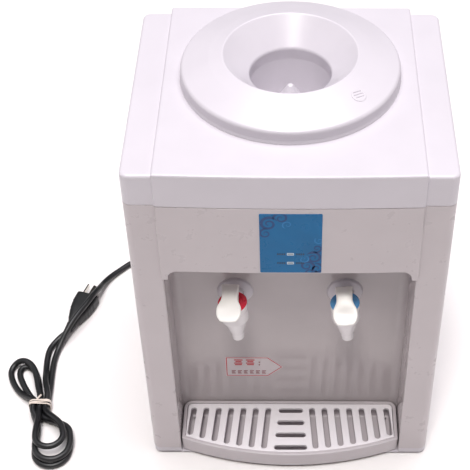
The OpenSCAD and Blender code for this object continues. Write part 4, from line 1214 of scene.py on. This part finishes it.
@dataclass
class Graphics:
    """The printed label, its lamps and the small sticker in the bay."""

    at: Lines
    width: float = 57.0
    low: float = 294.0
    high: float = 369.0
    middle: float = 1.0
    lens_rows: tuple[float, float] = (318.5, 306.9)

    def on_label(self, lift: float) -> Place:
        """Points drawn upright on the label, raised from it by a lift."""
        return self.at.facing_front(-4.9 - lift)

    @staticmethod
    def print_shape(b: Builder, loops: Sequence[Array], place: Place, thick: float = 0.05) -> None:
        """Add a printed shape as a very thin plate."""
        b.slab(loops, edge_rounds(0, thick, 0.01, 0.01, 1), place)

    def curl(self, b: Builder, cx: float, cz: float, radius: float, turns: float,
             start: float, width: float, sense: int, lift: float) -> None:
        """Add a printed curl: a spiral ribbon that thins towards its eye.

        The radius falls evenly with the angle, and the ribbon's width follows it.
        """
        s = np.linspace(0, 1, 90)
        t = start + sense * 2 * math.pi * turns * s
        r = radius * (1 - 0.86 * s)
        w = width * (1 - 0.75 * s) * np.minimum(1, s * 12) * 0.5
        edge = [np.stack([cx + (r + k * w) * np.cos(t), cz + (r + k * w) * np.sin(t), 0 * s], -1)
                for k in (-1, 1)]
        p = np.stack(edge)
        x0, x1 = self.middle - self.width / 2 + 0.4, self.middle + self.width / 2 - 0.4
        p[..., 0] = np.clip(p[..., 0], x0, x1)
        p[..., 1] = np.clip(p[..., 1], self.low + 0.4, self.high - 0.4)
        top = self.on_label(lift + 0.04)(p)
        low = self.on_label(lift)(p)
        b.grid(np.stack([top[0], top[1], low[1], low[0]]), around=False, ring=True)

    def label(self) -> None:
        """The blue film with darker and paler curls, and pale bars beside the lamps."""
        m, half = self.middle, self.width / 2
        outline = box_loop(m - half, self.low, m + half, self.high, 1.2)
        windows = [box_loop(m - 2.8, z - 0.9, m + 2.2, z + 0.9, 0.3)[::-1]
                   for z in self.lens_rows]
        place = self.at.facing_front(-3.9)
        plate = Builder().slab([outline, *windows], edge_rounds(0, 1.0, 0.05, 0.25, 3), place)
        add_piece("display_label", plate, FILM_BLUE, "cabinet", ("label_plate",))
        navy, sky, ink, pale = Builder(), Builder(), Builder(), Builder()
        for cx, cz, r, turns, start, w, sense in (
                (m - 20, 357, 8.5, 1.7, 0.4, 3.6, 1), (m - 9, 364, 7, 1.5, 3.4, 2.8, -1),
                (m - 23, 345, 6, 1.4, 1.2, 2.4, 1), (m + 21, 314, 7.5, 1.6, 2.6, 3.0, -1),
                (m + 15, 303, 7, 1.6, 5.2, 3.0, 1), (m + 24, 300, 6.5, 1.5, 1.9, 2.8, -1),
                (m + 24, 326, 5, 1.4, 3.8, 2.2, 1), (m + 18, 295, 6, 1.4, 0.6, 2.6, -1)):
            self.curl(navy, cx, cz, r, turns, start, w, sense, 0.02)
        for cx, cz, r, turns, start, w, sense in (
                (m + 12, 312, 5, 1.3, 1.2, 1.6, -1), (m + 26, 336, 4.5, 1.3, 2.2, 1.5, 1),
                (m - 3, 356, 5, 1.3, 4.4, 1.5, -1)):
            self.curl(sky, cx, cz, r, turns, start, w, sense, 0.05)
        for z in self.lens_rows:
            for x0, x1 in ((m - 12.6, m - 4.6), (m + 4.9, m + 13)):
                for i in range(4):
                    a = x0 + (x1 - x0) * i / 4
                    bar = box_loop(a, z - 1.1, a + (x1 - x0) / 4 - 0.6, z + 1.1, 0.25, 3)
                    ink.slab([bar], edge_rounds(0, 0.06, 0.01, 0.02, 2), self.on_label(0.04))
            frame = box_loop(m - 3.5, z - 1.6, m + 2.9, z + 1.6, 0.5, 4)
            inner = box_loop(m - 2.8, z - 0.9, m + 2.2, z + 0.9, 0.3, 4)[::-1]
            pale.slab([frame, inner], edge_rounds(0, 0.06, 0.01, 0.02, 2), self.on_label(0.04))
        add_piece("label_curls_dark", navy, FILM_NAVY, "cabinet", sharp=60)
        add_piece("label_curls_light", sky, FILM_SKY, "cabinet", sharp=60)
        add_piece("label_bars", ink, FILM_INK, "cabinet", sharp=60)
        add_piece("label_frames", pale, FILM_PALE, "cabinet", sharp=60)
        lens = Builder()
        for z in self.lens_rows:
            lens.slab([box_loop(m - 2.7, z - 0.8, m + 2.1, z + 0.8, 0.35, 4)],
                      edge_rounds(-0.1, 1.0, 0.1, 0.35, 4), place)
        add_piece("indicator_windows", lens, LENS, "cabinet", ("indicator_lenses",))

    def sticker(self) -> None:
        """A paper arrow with a thin red border and dark red bars in place of words."""
        printed = self.at.facing_front(BAY_DEPTH - 0.17)
        corners = np.array([(-70.5, 67), (-24, 67), (-7.5, 83), (-24, 99.5), (-70.5, 99.5)])
        loop = rounded(corners, 0.8, 3)
        paper = Builder().slab([loop], edge_rounds(0, 0.16, 0.02, 0.04, 2),
                               self.at.facing_front(BAY_DEPTH))
        add_piece("notice_sticker_paper", paper, PAPER, "cabinet", ("notice_sticker",))
        ink = Builder()
        m = outward(loop)
        self.print_shape(ink, [loop - 0.8 * m, (loop - 1.7 * m)[::-1]], printed)
        for x0, x1 in ((-61, -51.5), (-48, -38.5)):
            for k, (a, c) in enumerate(((0, 1), (0.15, 0.85), (0, 0.95), (0.1, 0.9))):
                z = 94.6 - 2.6 * k
                bar = box_loop(x0 + a * (x1 - x0), z - 0.85, x0 + c * (x1 - x0), z + 0.85, 0.3, 3)
                self.print_shape(ink, [bar], printed)
        add_piece("sticker_print_red", ink, PAPER_RED, "cabinet", sharp=60)
        dark = Builder()
        for a in np.arange(-64, -30, 6.6):
            for z, w in ((76.3, 4.6), (74.2, 3.4), (72.3, 4.4)):
                bar = box_loop(a, z - 0.6, a + w, z + 0.6, 0.25, 3)
                self.print_shape(dark, [bar], printed)
        for z in (91, 86.5):
            self.print_shape(dark, [circle_loop(-33.5, z, 0.9, 20, hole=False)], printed)
        add_piece("sticker_print_dark", dark, PAPER_DARK, "cabinet", sharp=60)

    def build(self) -> None:
        """Make the label and the sticker."""
        self.label()
        self.sticker()


@dataclass
class BottleSeat:
    """The funnel ring that carries the bottle, its spike and its vent."""

    at: Lines
    depth: float = SEAT_DEPTH
    rim_r: float = 104.4
    lip_r: float = 63.8
    throat_r: float = 39.0
    rim_z: float = 425.3
    lip_z: float = 438.8

    def section(self) -> Array:
        """The ring's section: outer wall, sloping top, lip, funnel and well."""
        base = self.at.panel_z + 0.12
        corners = [(self.rim_r + 0.9, base), (self.rim_r, base + 3.2),
                   (self.rim_r, self.rim_z + 0.6), (self.lip_r + 14, self.lip_z - 4.0),
                   (self.lip_r, self.lip_z),
                   (self.throat_r, 414), (self.throat_r, 402), (33, 368), (33, 365),
                   (10.7, 365), (10.7, 362), (35.4, 362), (35.4, 367.5), (41.4, 401.5),
                   (41.4, 413), (self.lip_r - 1.5, 433.6), (self.lip_r + 6, 432.8),
                   (self.rim_r - 2.6, 422.2), (self.rim_r - 2.6, base)]
        radii = [0.4, 4, 4.2, 30, 3.0, 5, 4, 3, 2.0, 0.3, 0.3, 2, 3, 4, 5, 3, 6, 1.5, 0.3]
        return rounded(corners, radii, 8)

    def ring(self) -> None:
        """The funnel ring with its locating skirts."""
        c = (0.0, self.at.y(self.depth))
        b = Builder()
        b.turned(shut(self.section()), c, 160)
        for r0, r1, z0, z1 in ((91, 93.3, 401, 424.0), (62.2, 64.4, 398.1, 432.0)):
            wall = rounded([(r0, z0), (r1, z0), (r1, z1), (r0, z1)], 0.4, 3)
            b.turned(shut(wall), c, 120)
        add_plastic("bottle_seat_funnel", b, "bottle_seat", "seat")

    def spike(self) -> None:
        """The hollow spike with four windows and a rounded cone tip.

        The shaft between the windows is four posts: arcs of a ring between given
        angles, closed at both sides.
        """
        c = (0.0, self.at.y(self.depth))
        b = Builder()
        tip = rounded([(7.6, 380.5), (10.5, 380.5), (10.5, 387.5), (2.6, 399.6), (0, 400.3)],
                      [0.3, 0.3, 3, 1.6, 0], 6, False)
        inner = rounded([(0, 391), (7.6, 384), (7.6, 380.5)], [0, 1, 0], 3, False)
        b.turned(np.concatenate([inner[::-1], tip]), c, 64)
        base = rounded([(7.6, 366.2), (7.6, 350), (5.6, 345), (5.6, 340), (8, 340), (8, 358),
                        (14, 358), (14, 361.9), (10.5, 361.9), (10.5, 366.2)], 0.5, 3)
        b.turned(shut(base), c, 64)
        for quarter in range(4):
            t = np.radians(45 + 90 * quarter) + np.linspace(-0.46, 0.46, 13)
            ring = [np.stack([c[0] + r * np.cos(t), c[1] + r * np.sin(t), z + 0 * t], -1)
                    for r, z in ((7.6, 366), (10.5, 366), (10.5, 380.7), (7.6, 380.7))]
            b.grid(np.stack(ring), around=False, ring=True)
            for i in (0, -1):
                side = np.stack([q[i] for q in ring])
                b.patch(side, [(0, 1, 2), (0, 2, 3)])
        add_plastic("bottle_spike", b, "bottle_probe", "seat")

    def vent(self) -> None:
        """The round filter cap in the rim, with three slanted slots."""
        a = math.radians(-43)
        centre = (85 * math.cos(a), self.at.y(self.depth) + 85 * math.sin(a), 431.9)
        lean = tilted((0, 0, 0), y=19.8)
        turn = tilted(centre, z=-43)
        place = lambda p: turn(lean(p))
        slots = []
        for k in (-3, 0, 3):
            half = math.sqrt(4.6 ** 2 - k ** 2)
            ends = [np.array([x * math.cos(1.3) - k * math.sin(1.3),
                              x * math.sin(1.3) + k * math.cos(1.3)]) for x in (-half, half)]
            slots.append(slot_loop(ends[0], ends[1], 1.3, 4))
        disc = circle_loop(0, 0, 7.4, 64, hole=False)
        b = Builder().slab([disc, *slots], edge_rounds(-3.0, 1.1, 0.2, 0.7, 4), place)
        add_plastic("vent_cap", b, "air_filter_cap", "seat")

    def build(self) -> None:
        """Make the three pieces of the seat."""
        self.ring()
        self.spike()
        self.vent()


@dataclass
class DripTray:
    """The pull-out tray and the slotted grid that lies in it."""

    at: Lines
    half: float = 118.5
    rear: float = 54.5
    reach: float = 19.5
    corner_depth: float = 2.6
    top: float = 24.3

    def front_line(self, x: Array) -> Array:
        """Depth of the tray's curved front, a parabola across its width."""
        return self.corner_depth - (self.reach + self.corner_depth) * (1 - (x / self.half) ** 2)

    def plan(self) -> Array:
        """The tray's outline, with small front corners and round rear ones."""
        y = self.at.y
        x = np.linspace(-self.half, self.half, 61)
        front = np.column_stack([x, y(0) + self.front_line(x)])
        left = rounded([(-self.half, y(30)), front[0], front[2]], [0, 3.0, 0], 6, False)[1:-1]
        right = rounded([front[-3], front[-1], (self.half, y(30))], [0, 3.0, 0], 6, False)[1:-1]
        rear = rounded([(self.half, y(30)), (self.half, y(self.rear)), (-self.half, y(self.rear)),
                        (-self.half, y(30))], [0, 9.5, 9.5, 0], 10, False)[1:-1]
        return np.concatenate([left, front[3:-3], right, rear])

    def tray(self) -> None:
        """The tray: wall, round rim, a ledge for the grid and a basin."""
        t = np.linspace(0, math.pi / 2, 5)
        q = self.top
        wall = np.concatenate([
            [[9.0, 3.5]], np.stack([2.0 * (1 - np.sin(t)) + 0.6, 3.5 + 2.0 * (1 - np.cos(t))], 1),
            np.stack([1.4 * (1 - np.cos(t)), q - 1.4 * (1 - np.sin(t))], 1),
            np.stack([4 - 0.8 * (1 - np.sin(t[::-1] )), q - 0.8 * (1 - np.cos(t[::-1]))], 1)[::-1],
            [[4.0, 20.9], [4.2, 20.65], [6.2, 20.6], [6.5, 20.3]],
            np.stack([6.5 + 2.4 * (1 - np.cos(t)), 7.9 - 2.4 * np.sin(t)], 1),
            [[12.0, 5.5]]])
        b = Builder().slab([self.plan()], wall)
        add_plastic("drip_tray_moulding", b, "drip_tray", "drip_tray", finish=ABS_TRAY)

    def slots(self) -> list[Array]:
        """The grid's holes: seven splayed slots a side and four across the middle."""
        y = self.at.y
        out = []
        for s in (-1, 1):
            for i in range(7):
                rear_x = 24.4 + 13.83 * i
                lean = math.tan(math.radians(4.3))
                tip = float(self.front_line(np.array(rear_x + 2.6))) + 8.0
                ends = [(s * (rear_x + lean * (41.6 - d)), y(d)) for d in (41.6, tip + 3.1)]
                out.append(slot_loop(ends[0], ends[1], 6.2, 10))
        for i, width in enumerate((27, 29.8, 33.2, 35.9)):
            d, half = 40.8 - 16.55 * i, width / 2 - 3.1
            out.append(slot_loop((0.8 - half, y(d)), (0.8 + half, y(d)), 6.2, 10))
        return out

    def grid(self) -> None:
        """The grid plate, with a round edge on every slot."""
        m = outward(self.plan())
        outline = self.plan() - 4.45 * m
        b = Builder().slab([outline, *self.slots()],
                           edge_rounds(20.7, self.top - 0.35, 0.3, 0.8, 4))
        # The grid's whiter tint is painted light.
        add_plastic("drip_grid_plate", b, "drip_grid", "drip_grid", finish=ABS_GRID_LIT)

    def build(self) -> None:
        """Make the tray and the grid."""
        self.tray()
        self.grid()


@dataclass
class Tap:
    """One lever tap: wall ring, body, coloured bonnet, lever and pin."""

    at: Lines
    word: str
    x: float
    tint: Finish
    rise: float = 0.0
    turn: float = 0.0
    tilt: float = 33.0
    lean: float = 4.8
    depth: float = 25.0
    z: float = 205.0

    def stand(self, p: Array) -> Array:
        """Carry points drawn about the barrel's axis to the tap, with its turn and lean."""
        turned = tilted((0, 0, -self.z), z=self.turn)(p)
        return tilted((self.x, self.at.y(self.depth), self.z), y=-self.lean)(turned)

    def body_shell(self) -> Builder:
        """Barrel with a rolled rim and a tapered spout, and the shank behind it."""
        z = self.z
        corners = [(0, z + 4), (4.2, z + 4), (4.2, z - 36.2), (5.2, z - 37), (6.3, z - 36.2),
                   (7.1, z - 28), (12.2, z - 9.4), (12.6, z - 7.6), (14.2, z - 6.6),
                   (14.4, z - 5), (14.4, z + 5.5), (14.8, z + 9), (14.8, z + 14.5),
                   (14.1, z + 14.5), (14.1, z + 11.8), (0, z + 11.8)]
        radii = [0, 0.3, 0.4, 0.5, 0.5, 8, 3, 0.5, 0.5, 0.4, 3, 3, 0.35, 0.25, 0.2, 0]
        b = Builder().turned(rounded(corners, radii, 5, False), count=72, place=self.stand)
        shank = rounded([(0, 97), (5, 97), (5, 85), (8.5, 85), (8.5, 30), (0, 30)],
                        [0, 0.5, 0.2, 0.5, 0.2, 0], 4, False)
        return b.turned(shank, count=48, place=self.at.rearward(self.x, self.z, 0))

    def ring(self) -> Builder:
        """The cover ring on the bay's wall: a shallow dish with a round edge."""
        section = rounded([(8.7, 55), (8.7, 51.6), (12.5, 51.9), (17.2, 53.2), (18.6, 55)],
                          [0, 0.7, 3, 1.6, 0], 6, False)
        return Builder().turned(shut(section), count=72,
                                place=self.at.rearward(self.x, self.z, 0))

    def bonnet(self) -> Builder:
        """The coloured cap: a dished disc with two ears for the lever's pin."""
        top = self.z + 15.5
        section = rounded([(3.5, self.z + 11.9), (14.0, self.z + 11.9), (14.0, self.z + 14.55),
                           (14.7, self.z + 14.55), (14.7, top), (11.2, top + 0.1),
                           (10.0, top - 0.7), (3.5, top - 0.7)],
                          [0.1, 0.1, 0.1, 0.2, 0.6, 0.5, 0.5, 0.3], 5)
        b = Builder().turned(shut(section), count=72, place=self.stand)
        pin = self.z + 19.2 + self.rise
        ear = [(-10.2, top - 1.2), (-3.8, top - 1.2), (-4.4, pin + 0.5), (-5, pin + 3),
               (-9, pin + 3), (-9.6, pin + 0.5)]
        loop = rounded(ear, [0.2, 0.2, 2.5, 2.4, 2.4, 2.5], 6)
        for s in (-1, 1):
            place = lambda p, s=s: self.stand(facing_right((s * 4.3, 0, 0))(p))
            b.slab([loop], edge_rounds(-1.05, 1.05, 0.35, 0.35, 3), place)
        return b

    def paddle_half(self, u: Array) -> Array:
        """Half width of the paddle along its length: a neck, a flare and a round pad."""
        neck = 7.9 + 0.9 * np.clip(1 - u / 14, 0, 1) ** 2
        flare = 7.9 + 4.3 * (1 - np.cos(math.pi * np.clip((u - 13) / 13, 0, 1))) / 2
        pad = 12.2 * (1 - np.clip((u - 27) / 11.6, 0, 1) ** 2.6 * 0.42)
        return np.where(u < 13, neck, np.where(u < 27, flare, pad))

    def lever(self) -> Builder:
        """The paddle and its two cheeks.

        The outline is the half width drawn both ways; its face is dished by a
        parabola along the pad and crowned across, and its edge is well rounded.
        """
        u = np.concatenate([np.linspace(0.6, 36.5, 40)])
        w = self.paddle_half(u)
        right = np.column_stack([w, -u])
        end = [(w[-1] * 0.86, -37.9), (w[-1] * 0.55, -38.5), (0, -38.8), (-w[-1] * 0.55, -38.5),
               (-w[-1] * 0.86, -37.9)]
        left = right[::-1] * (-1, 1)
        loop = np.concatenate([left[::-1], end[::-1], right[::-1], [(7.6, 0.1), (-7.6, 0.1)]])
        loop = loop if self.clockwise(loop) < 0 else loop[::-1]
        rear = (0.0, 4.0, self.z + 34.5 + self.rise)
        tip = tilted(rear, x=self.tilt)

        def place(p: Array) -> Array:
            x, y, z = p[..., 0], p[..., 1], p[..., 2]
            dish = -0.9 * np.exp(-((y + 29) / 6.5) ** 2) * np.clip(1 - (x / 11) ** 2, 0, 1)
            crown = 0.5 * (1 - (x / 12.4) ** 2)
            lift = np.where(z > -1.5, dish + crown - 0.5, 0)
            return self.stand(tip(np.stack([x, y, z + lift], -1)))
        b = Builder().slab([loop], edge_rounds(-3.0, 0.0, 0.6, 1.2, 5), place, 1.6)
        fall = -18.6 * math.tan(math.radians(self.tilt))
        cheek = [(-0.4, -1.4), (-18.6, fall - 1.3), (-18.6, fall - 2.6), (-13.4, -16.2),
                 (-11.6, -17.7), (-8.5, -17.3), (-0.4, -10)]
        side = rounded(cheek, [0.3, 0.3, 0.4, 1.5, 1.5, 3.5, 2.5], 6)
        side = side if self.clockwise(side) < 0 else side[::-1]
        for s in (-1, 1):
            pose = lambda p, s=s: self.stand(facing_right((s * 6.6, 4.0, rear[2]))(p))
            b.slab([side], edge_rounds(-0.8, 0.8, 0.3, 0.3, 3), pose)
        return b

    @staticmethod
    def clockwise(loop: Array) -> float:
        """Twice the signed area, negative when the loop runs anticlockwise."""
        q = np.roll(loop, -1, 0)
        return float(-(loop[:, 0] * q[:, 1] - q[:, 0] * loop[:, 1]).sum())

    def pin(self) -> Builder:
        """The lever's pin, with slightly domed ends."""
        z = self.z + 19.2 + self.rise
        section = rounded([(0, -7.9), (1.5, -7.6), (1.5, 7.6), (0, 7.9)], [0, 0.4, 0.4, 0], 3,
                          False)
        return Builder().turned(section, count=24, place=lambda p: self.stand(
            np.stack([p[..., 2], p[..., 0] - 7, z + p[..., 1]], -1)))

    def build(self) -> None:
        """Make the tap's pieces on their bodies."""
        n = self.word
        add_plastic(f"{n}_tap_shell", self.body_shell(), f"{n}_tap_body", finish=ABS_GLOSS)
        add_piece(f"{n}_bonnet_cap", self.bonnet(), self.tint, "cabinet", (f"{n}_bonnet",))
        add_piece(f"{n}_lever_paddle", self.lever(), ABS_LEVER, f"{n}_lever",
                  (f"{n}_lever",), sharp=35)


@dataclass
class RearFittings:
    """The two rocker switches and the drain cap on the back."""

    at: Lines
    switch_depth: float = 247.0

    def bezels(self) -> None:
        """Switch housings: a flange with a round edge and a deep well."""
        b = Builder()
        face = self.at.y(BODY_DEPTH)
        for x in SWITCH_X:
            place = lambda p, x=x: np.stack([x - p[..., 0], face + p[..., 2],
                                             SWITCH_Z + p[..., 1]], -1)
            outer = box_loop(-8.2, -11.5, 8.2, 11.5, 1.5, 5)
            well = box_loop(-5.1, -8.2, 5.1, 8.2, 0.6, 4)[::-1]
            flange = np.array([[0.2, 0.05], [0, 0.3], [0, 1.0], [0.2, 1.35], [0.5, 1.5]])
            deep = np.array([[0, 0.05], [0, 1.3], [0.3, 1.5]])
            b.slab([outer, well], [flange, deep], place)
            body = box_loop(-6.6, -9.8, 6.6, 9.8, 0.8, 4)
            b.slab([body, well], [np.array([[0, -8.9], [0, 0.1]])] * 2, place)
            b.slab([body], np.array([[0, -14.0], [0, -8.9]]), place)
        add_piece("switch_housings", b, SWITCH_BLACK, "cabinet", ("switch_bezels",))

    def rocker(self, word: str, x: float, finish: Finish) -> None:
        """A rocker with a hollowed face and a short bar on its raised half.

        The section across the face is two slopes that meet in a shallow valley.
        """
        section = [(-3, -6.5), (5.0, -6.9), (5.2, -6.5), (3.9, 0), (5.2, 6.5), (5.0, 6.9),
                   (-3, 6.5)]
        loop = rounded(section, [0.5, 0.4, 0.8, 6, 0.8, 0.4, 0.5], 6)
        lean = tilted((x, self.at.y(self.switch_depth), SWITCH_Z), x=-8)
        b = Builder().slab([loop], edge_rounds(-4.75, 4.75, 0.4, 0.4, 3),
                           lambda p: lean(facing_right((0, 0, 0))(p)))
        add_piece(f"{word}_rocker_cap", b, finish, f"{word}_rocker", (f"{word}_rocker",))
        mark = Builder()
        bar = box_loop(-0.35, 2.6, 0.35, 5.2, 0.2, 3)
        tip = lambda p: lean(np.stack([p[..., 0], 3.9 + p[..., 1] * 0.2 + p[..., 2] - 0.02,
                                       p[..., 1]], -1))
        mark.slab([bar], edge_rounds(0, 0.1, 0.02, 0.02, 1), tip)
        add_piece(f"{word}_rocker_mark", mark, FILM_PALE, f"{word}_rocker", sharp=60)

    def drain(self) -> None:
        """The drain cap: a fluted knob with a domed face and a plug behind it."""
        t = np.linspace(0, 2 * math.pi, 144, endpoint=False)
        flute = 0.55 * np.maximum(0, np.cos(12 * t)) ** 1.5
        rows = [(0, 0.3, 0), (8.3, 0.3, 0.5), (8.9, 0.8, 1), (9.0, 2.5, 1), (8.9, 4.6, 1),
                (8.3, 5.4, 0.6), (6.5, 5.7, 0), (5.8, 5.4, 0), (0, 5.2, 0)]
        x, z = DRAIN_XZ
        face = self.at.y(BODY_DEPTH)
        p = np.stack([np.stack([x + (r - k * flute) * np.cos(t), face + h + 0 * t,
                                z + (r - k * flute) * np.sin(t)], -1) for r, h, k in rows])
        b = Builder().grid(p)
        stem = rounded([(0, -7.7), (4.4, -7.7), (4.5, 0.5), (0, 0.5)], [0, 0.8, 0, 0], 3, False)
        b.turned(stem, count=40, place=self.at.rearward(x, z))
        add_plastic("drain_cap_knob", b, "drain_cap", "drain_cap")

    def build(self) -> None:
        """Make what shows on the back."""
        self.bezels()
        for word, x, finish in zip(("hot", "cold"), SWITCH_X, (ROCKER_RED, ROCKER_GREEN)):
            self.rocker(word, x, finish)
        self.drain()


def dress_cad_nodes() -> None:
    """Give the CAD nodes that stay their real materials."""
    for name, finish in CAD_FINISHES.items():
        slots = bpy.data.objects[name].data.materials
        if not slots:
            slots.append(finish.material())
        for i in range(len(slots)):
            slots[i] = finish.material()


def main() -> None:
    """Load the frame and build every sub-assembly in order."""
    logging.basicConfig(level=logging.INFO, format="%(message)s")
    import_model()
    at = Lines.from_frame()
    Studio().build()
    MainsCord(at).build()
    Cabinet(at).build()
    Graphics(at).build()
    BottleSeat(at).build()
    DripTray(at).build()
    hot = Tap(at, "hot", -56.0, POLY_RED, rise=3.0, turn=-5.0, tilt=24.0)
    cold = Tap(at, "cold", 56.0, POLY_BLUE)
    for tap in (hot, cold):
        tap.build()
    add_plastic("wall_ring_pair", merged(hot.ring(), cold.ring()), "wall_rings")
    add_piece("lever_pin_pair", merged(hot.pin(), cold.pin()), NICKEL, "cabinet",
              ("lever_pins",))
    RearFittings(at).build()
    dress_cad_nodes()


def merged(*parts: Builder) -> Builder:
    """One builder with the surfaces of several."""
    out = Builder()
    for b in parts:
        out.verts += b.verts
        out.quads += [q + out.count for q in b.quads]
        out.tris += [q + out.count for q in b.tris]
        out.count += b.count
    return out


if __name__ == "__main__":
    main()
